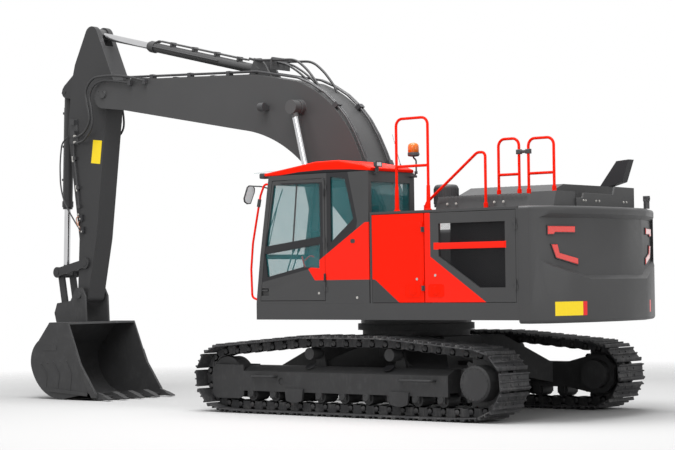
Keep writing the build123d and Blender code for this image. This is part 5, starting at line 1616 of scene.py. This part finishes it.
@dataclass
class Seat:
    """Sprung operator's seat: padded cushion, back and headrest on a bellows base."""

    shop: Workshop
    voxel: float = 0.007
    pressure: float = 4.0
    frames: int = 20
    most: float = 0.014
    fill: float = 0.7

    def pad(self, name: str, shape: Shape) -> bpy.types.Object:
        """Swell a closed shape by cloth pressure, each point moving no further than the cap.

        A point moves by d * min(1, most / |d|), where d is how far the simulation took it.

        Args:
            name: name of the pad.
            shape: the shape before it swells.

        Returns:
            The pad, dressed.
        """
        made = self.shop.piece(name, shape, Finishes.SEAT)
        voxels = made.modifiers.new("voxels", "REMESH")
        voxels.mode, voxels.voxel_size = "VOXEL", self.voxel
        self.settle(made)
        rest = np.empty(len(made.data.vertices) * 3)
        made.data.vertices.foreach_get("co", rest)
        cloth = made.modifiers.new("cloth", "CLOTH")
        cloth.settings.use_pressure = True
        cloth.settings.uniform_pressure_force = self.pressure
        cloth.settings.effector_weights.gravity = 0.0
        for frame in range(1, self.frames + 1):
            bpy.context.scene.frame_set(frame)
        self.settle(made)
        swollen = np.empty_like(rest)
        made.data.vertices.foreach_get("co", swollen)
        step = (swollen - rest).reshape(-1, 3)
        far = np.linalg.norm(step, axis=1)[:, None]
        rest += (step * np.minimum(1.0, self.most / np.maximum(far, 1e-9))).ravel()
        made.data.vertices.foreach_set("co", rest)
        bpy.context.scene.frame_set(1)
        self.shop.dress(made, Finishes.SEAT, 60.0)
        finer = made.modifiers.new("finer", "SUBSURF")
        finer.levels = finer.render_levels = 1
        return made

    def settle(self, made: bpy.types.Object) -> None:
        """Put what an object's modifiers make of it into its own mesh, and drop them.

        Args:
            made: the object.
        """
        deps = bpy.context.evaluated_depsgraph_get()
        mesh = bpy.data.meshes.new_from_object(made.evaluated_get(deps))
        made.modifiers.clear()
        made.data = mesh

    def build(self) -> None:
        """The whole seat."""
        cushion = plate(softened_box((-0.040, 0.800), (0.420, 1.240), 0.060), 1.812, 1.910, 2, 0.030)
        back = plate([(-0.058, 1.905), (0.045, 1.900), (0.020, 2.060), (-0.052, 2.410), (-0.140, 2.415),
                      (-0.120, 2.200)], 0.800, 1.240, 1, 0.028)
        head = plate([(-0.140, 2.462), (-0.070, 2.458), (-0.092, 2.604), (-0.156, 2.600)],
                     0.905, 1.135, 1, 0.022)
        pads = [self.pad(name, shape) for name, shape in (
            ("seat_cushion", cushion), ("seat_back", back), ("seat_headrest", head))]
        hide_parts("operator_seat")
        folds = [(0.150 - 0.018 * (i % 2), 1.500 + 0.022 * i) for i in range(12)]
        base = join([bar((0.000, 0.885, 1.4345), (0.375, 1.155, 1.500), 0.008),
                     turned(folds, 24, frame_at((0.190, 1.020, 0), UP)),
                     bar((-0.020, 0.860, 1.745), (0.400, 1.180, 1.795), 0.008)]
                    + [tube([(-0.105, y, 2.405), (-0.112, y, 2.480)], 0.007, 0.01) for y in (0.960, 1.080)])
        self.shop.piece("seat_base", base, Finishes.PLASTIC)


@dataclass
class WorkingGear:
    """Boom, arm, cylinders, linkage and bucket."""

    shop: Workshop
    arm_face: float = 0.165
    bucket_face: float = 0.680

    def build_labels(self) -> None:
        """Blank label on the arm."""
        arm = film([(5.792, 3.797), (5.607, 3.774), (5.653, 3.435), (5.842, 3.457)], self.arm_face)
        self.shop.piece("arm_blank_label", arm, Finishes.YELLOW, "arm")

    def build_bucket(self) -> None:
        """Chevron wear strips with weld dots and a raised plate on each side of the bucket."""
        side = self.bucket_face
        strips = []
        section = np.array([(-0.004, -0.009), (-0.004, 0.009), (0.003, 0.009), (0.003, -0.009)])
        for route in ([(6.388, 0.495), (6.283, 0.378), (6.276, 0.312), (6.293, 0.175)],
                      [(6.115, 0.520), (6.012, 0.379), (6.013, 0.317), (6.050, 0.135)],
                      [(5.846, 0.544), (5.751, 0.384), (5.752, 0.323), (5.782, 0.130)]):
            path = np.array([(x, side + 0.003, z) for x, z in route])
            strips.append(swept(path, section, LEFT))
        strips.append(plate([(6.347, 0.778), (6.052, 0.786), (6.060, 0.709), (6.332, 0.706)],
                            side - 0.001, side + 0.006, 1, 0.002))
        dots = frames([(x, side, z) for x, z in (
            (6.39, 0.515), (6.26, 0.530), (6.13, 0.542), (5.99, 0.553), (5.86, 0.566))], LEFT)
        bead = turned([(0.016, 0), (0.014, 0.004), (0.006, 0.007)], 12)
        shape = join(strips + [bead.repeated(dots)])
        self.shop.piece("bucket_wear_strips", shape.both_sides(), Finishes.BUCKET, "bucket")

    def build_hoses(self) -> None:
        """Hoses over the two joints, with the clamps and the stand that hold them."""
        feed = tube([(1.360, 0.172, 4.100), (1.450, 0.172, 4.290), (1.640, 0.172, 4.510),
                     (1.840, 0.172, 4.660), (2.480, 0.150, 4.702), (2.700, 0.070, 4.735),
                     (2.790, 0.040, 4.760)], 0.017, 0.12, 12)
        inner = tube([(1.440, 0.062, 4.160), (1.670, 0.062, 4.330), (1.872, 0.062, 4.494),
                      (2.093, 0.062, 4.622), (2.268, 0.062, 4.666)], 0.015, 0.10, 12)
        self.shop.piece("arm_cylinder_hoses", feed.both_sides(), Finishes.RUBBER, "boom",
                        stands_for=("boom_hoses",),
                        across=("arm_barrel", (2.300, 0.0, 4.700), (2.740, 0.0, 4.750)))
        self.shop.piece("boom_top_hoses", inner.both_sides(), Finishes.RUBBER, "boom")
        stand = plate([(-0.198, 4.560), (0.198, 4.560), (0.198, 4.700), (0.170, 4.729), (-0.170, 4.729),
                       (-0.198, 4.700)], 2.262, 2.276, 0, 0.002)
        self.shop.piece("hose_stand", stand, Finishes.GEAR, "boom")
        outer = tube([(4.560, 0.322, 4.560), (4.875, 0.322, 4.648), (5.290, 0.322, 4.700),
                      (5.640, 0.322, 4.690), (5.800, 0.322, 4.510), (5.740, 0.322, 4.281),
                      (5.690, 0.322, 4.060), (5.830, 0.300, 3.900), (6.060, 0.240, 3.850),
                      (6.180, 0.200, 3.865)], 0.017, 0.14, 12)
        lower = tube([(4.860, 0.322, 4.560), (5.390, 0.322, 4.640), (5.610, 0.322, 4.590),
                      (5.715, 0.322, 4.430), (5.650, 0.322, 4.200), (5.640, 0.322, 3.960),
                      (5.851, 0.300, 3.780), (6.060, 0.240, 3.765), (6.180, 0.200, 3.775)], 0.015, 0.14, 12)
        self.shop.piece("arm_hoses", (outer + lower).both_sides(), Finishes.RUBBER, "boom",
                        stands_for=("tip_hoses",), across=("arm", (5.250, 0.0, 4.700), (5.720, 0.0, 4.060)))
        blocks = join([bar((x, 0.280, 4.520), (x + 0.050, 0.344, 4.590), 0.005) for x in (4.540, 4.840)])
        self.shop.piece("tip_clamps", blocks.both_sides(), Finishes.LINE, "boom")

    def build_arm(self) -> None:
        """Bands, hose ends, plugs, valve block and the hose along the front of the arm."""
        side = self.arm_face
        bands = [tube([(x0, side + 0.022, z0), (x1, side + 0.022, z1)], 0.0155, 0.01, 14)
                 for x0, z0, x1, z1 in ((6.216, 3.575, 6.208, 3.490), (6.152, 3.135, 6.128, 3.050))]
        tip = turned([(0.019, 0), (0.019, 0.022), (0.014, 0.026), (0.014, 0.060)], 14)
        plug = turned([(0.017, 0), (0.017, 0.020), (0.012, 0.026)], 6)
        tips = frames([(6.150, 0.212, z) for z in (3.866, 3.776)], (-1, 0.45, 0.04))
        plugs = frames([(x, side + 0.012, z) for x, z in (
            (6.110, 2.705), (6.060, 2.640), (6.095, 2.520), (6.030, 2.450))], LEFT)
        self.shop.piece("arm_fittings", join(bands + [tip.repeated(tips), plug.repeated(plugs)]),
                        Finishes.BARE, "arm")
        block = join([bar((x, side - 0.001, z), (x + 0.075, side + 0.034, z + 0.100), 0.004)
                      for x, z in ((6.010, 2.600), (5.985, 2.420))])
        self.shop.piece("arm_valve_block", block, Finishes.BLACK, "arm")
        copper = join([tube([(x, side + off + rise, z) for (x, z), rise in zip(route, (0, 0.004, 0.004, 0))],
                            0.008, 0.03) for off, route in (
            (0.020, ((6.085, 2.680), (6.150, 2.660), (6.130, 2.560), (6.060, 2.500))),
            (0.014, ((6.080, 2.625), (6.115, 2.580), (6.095, 2.480), (6.055, 2.445))))])
        self.shop.piece("arm_copper_lines", copper, Finishes.COPPER, "arm")
        route = ((6.300, 3.870), (6.440, 3.780), (6.483, 3.480), (6.475, 3.140), (6.400, 2.900),
                 (6.224, 2.667))
        hose = tube([(x, side + 0.030, z) for x, z in route] + [(6.075, side + 0.022, 2.480)],
                    0.011, 0.14, 12)
        self.shop.piece("arm_front_hose", hose, Finishes.RUBBER, "arm")

    def build_pins(self) -> None:
        """Keeper bolts at the boom's two main pins."""
        for name, x, z, far in (("boom_foot_keepers", 0.250, 1.950, 0.075),
                                ("arm_pin_keepers", 5.448, 4.434, 0.060)):
            points = [(x + far * math.cos(a), 0.350, z + far * math.sin(a)) for a in (0.9, 2.5)]
            self.shop.bolts(name, points, LEFT, 0.010, Finishes.LINE, "boom", True)

    def build_lamp(self) -> None:
        """Clear lens of the round lamp on the boom."""
        lens = turned([(0.050, 0), (0.050, 0.004), (0.035, 0.008), (0.010, 0.010)], 24,
                      frame_at((2.321, 0.364, 4.035), (1, 0, 0)))
        self.shop.piece("boom_lamp_lens", lens, Finishes.CLEAR_LENS, "boom")

    def build(self) -> None:
        """Everything in front of the boom foot."""
        for node, finish, width in (
            ("boom", Finishes.GEAR, 0.005), ("arm", Finishes.ARM, 0.004),
            ("bucket", Finishes.BUCKET, 0.004), ("bucket_teeth", Finishes.BUCKET, 0.004),
            ("rocker_links", Finishes.ARM, 0.004), ("bucket_link", Finishes.ARM, 0.004),
            ("boom_barrel_left", Finishes.GEAR, 0.003), ("boom_barrel_right", Finishes.GEAR, 0.003),
            ("arm_barrel", Finishes.GEAR, 0.003), ("bucket_barrel", Finishes.ARM, 0.003),
        ):
            self.shop.softened(node, finish, width)
        self.shop.dress_nodes(Finishes.LINE, "boom_lines", "arm_lines")
        self.shop.dress_nodes(Finishes.PLASTIC, "boom_lamp")
        self.shop.dress_nodes(Finishes.BOOM_ROD, "boom_rod_left", "boom_rod_right")
        self.shop.dress_nodes(Finishes.ARM_ROD, "arm_rod")
        self.shop.dress_nodes(Finishes.BUCKET_ROD, "bucket_rod")
        self.build_labels()
        self.build_bucket()
        self.build_arm()
        self.build_pins()
        self.build_lamp()
        self.build_hoses()


# Studio


@dataclass
class Studio:
    """Camera, lamps, world and floor."""

    place: Point = (-15.2022, 20.0785, 1.6467)
    yaw: float = -0.8831
    pitch: float = 0.0296
    roll: float = -0.0126
    focal_pixels: float = 1952.28
    width_pixels: float = 675.0
    sensor: float = 36.0
    sky: float = 0.48
    floor_reach: float = 90.0
    floor_full: float = 8.0
    floor_end: float = 15.0

    def build_camera(self) -> None:
        """The camera, solved from points of the photograph."""
        cp, sp = math.cos(self.pitch), math.sin(self.pitch)
        forward = np.array((cp * math.cos(self.yaw), cp * math.sin(self.yaw), sp))
        right = np.cross(forward, (0, 0, 1.0))
        right /= np.linalg.norm(right)
        up = np.cross(right, forward)
        c, s = math.cos(self.roll), math.sin(self.roll)
        turned_right, turned_up = right * c + up * s, up * c - right * s
        data = bpy.data.cameras.new("camera")
        data.sensor_width = self.sensor
        data.lens = self.sensor * self.focal_pixels / self.width_pixels
        data.clip_end = 200.0
        camera = linked("camera", data)
        matrix = np.eye(4)
        matrix[:3, 0], matrix[:3, 1], matrix[:3, 2] = turned_right, turned_up, -forward
        matrix[:3, 3] = self.place
        camera.matrix_world = Matrix(matrix.tolist())
        bpy.context.scene.camera = camera

    def build_world(self) -> None:
        """White where the camera, gloss and glass look, and a soft sky for the rest."""
        g = Graph("studio", "worlds")
        rays = g.node("ShaderNodeLightPath", {}, {}).outputs
        either = g.maths("MAXIMUM", rays["Is Camera Ray"], rays["Is Glossy Ray"])
        either = g.maths("MAXIMUM", either, rays["Is Transmission Ray"])
        lit, seen = [g.node("ShaderNodeBackground", {}, {0: (1.0, 1.0, 1.0), 1: power}).outputs[0]
                     for power in (self.sky, 1.0)]
        mix = g.node("ShaderNodeMixShader", {}, {0: either, 1: lit, 2: seen})
        g.node("ShaderNodeOutputWorld", {}, {0: mix.outputs[0]})
        bpy.context.scene.world = g.owner

    def build_floor(self) -> None:
        """A wide pale floor that keeps the shadow and fades out far from the machine."""
        mesh = bpy.data.meshes.new("floor")
        reach = self.floor_reach
        corners = [(x, z, 0) for x, z in rectangle((-reach, -reach), (reach, reach))]
        mesh.from_pydata(corners, [], [(0, 1, 2, 3)])
        floor = linked("floor", mesh)
        g = Graph("floor")
        x, y, _ = g.axes()
        away = (x ** 2.0 + y ** 2.0) ** 0.5
        mesh.materials.append(g.surface({
            "Base Color": (0.50, 0.50, 0.50), "Roughness": 0.9, "Specular IOR Level": 0.1,
            "Alpha": ((self.floor_end - away) / (self.floor_end - self.floor_full)).clamped()}))

    def build_lamps(self) -> None:
        """A broad key from the camera's left and above, a top light and a weak fill."""
        for name, power, size, place in (
            ("key", 1000.0, 9.0, (-6.0, 16.0, 12.0)),
            ("top", 3300.0, 12.0, (0.0, 2.0, 14.0)),
            ("fill", 500.0, 9.0, (-17.0, 2.0, 6.0)),
        ):
            data = bpy.data.lights.new(name, "AREA")
            data.energy, data.size = power, size
            away = np.array(place) - np.array((0.5, 0.0, 1.5))
            linked(name, data).matrix_world = Matrix(frame_at(place, tuple(away)).tolist())

    def build(self) -> None:
        """The whole studio."""
        bpy.context.scene.view_settings.view_transform = "Standard"
        self.build_camera()
        self.build_world()
        self.build_floor()
        self.build_lamps()


def main() -> None:
    """Build the studio and every sub-assembly, and note the size of the result."""
    logging.basicConfig(level=logging.INFO, format="%(message)s")
    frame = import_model()
    Studio().build()
    shop = Workshop(frame)
    for assembly in (Undercarriage(shop), Platform(shop), Cab(shop), Seat(shop), WorkingGear(shop)):
        assembly.build()
        log.info("%s done", type(assembly).__name__)


if __name__ == "__main__":
    main()
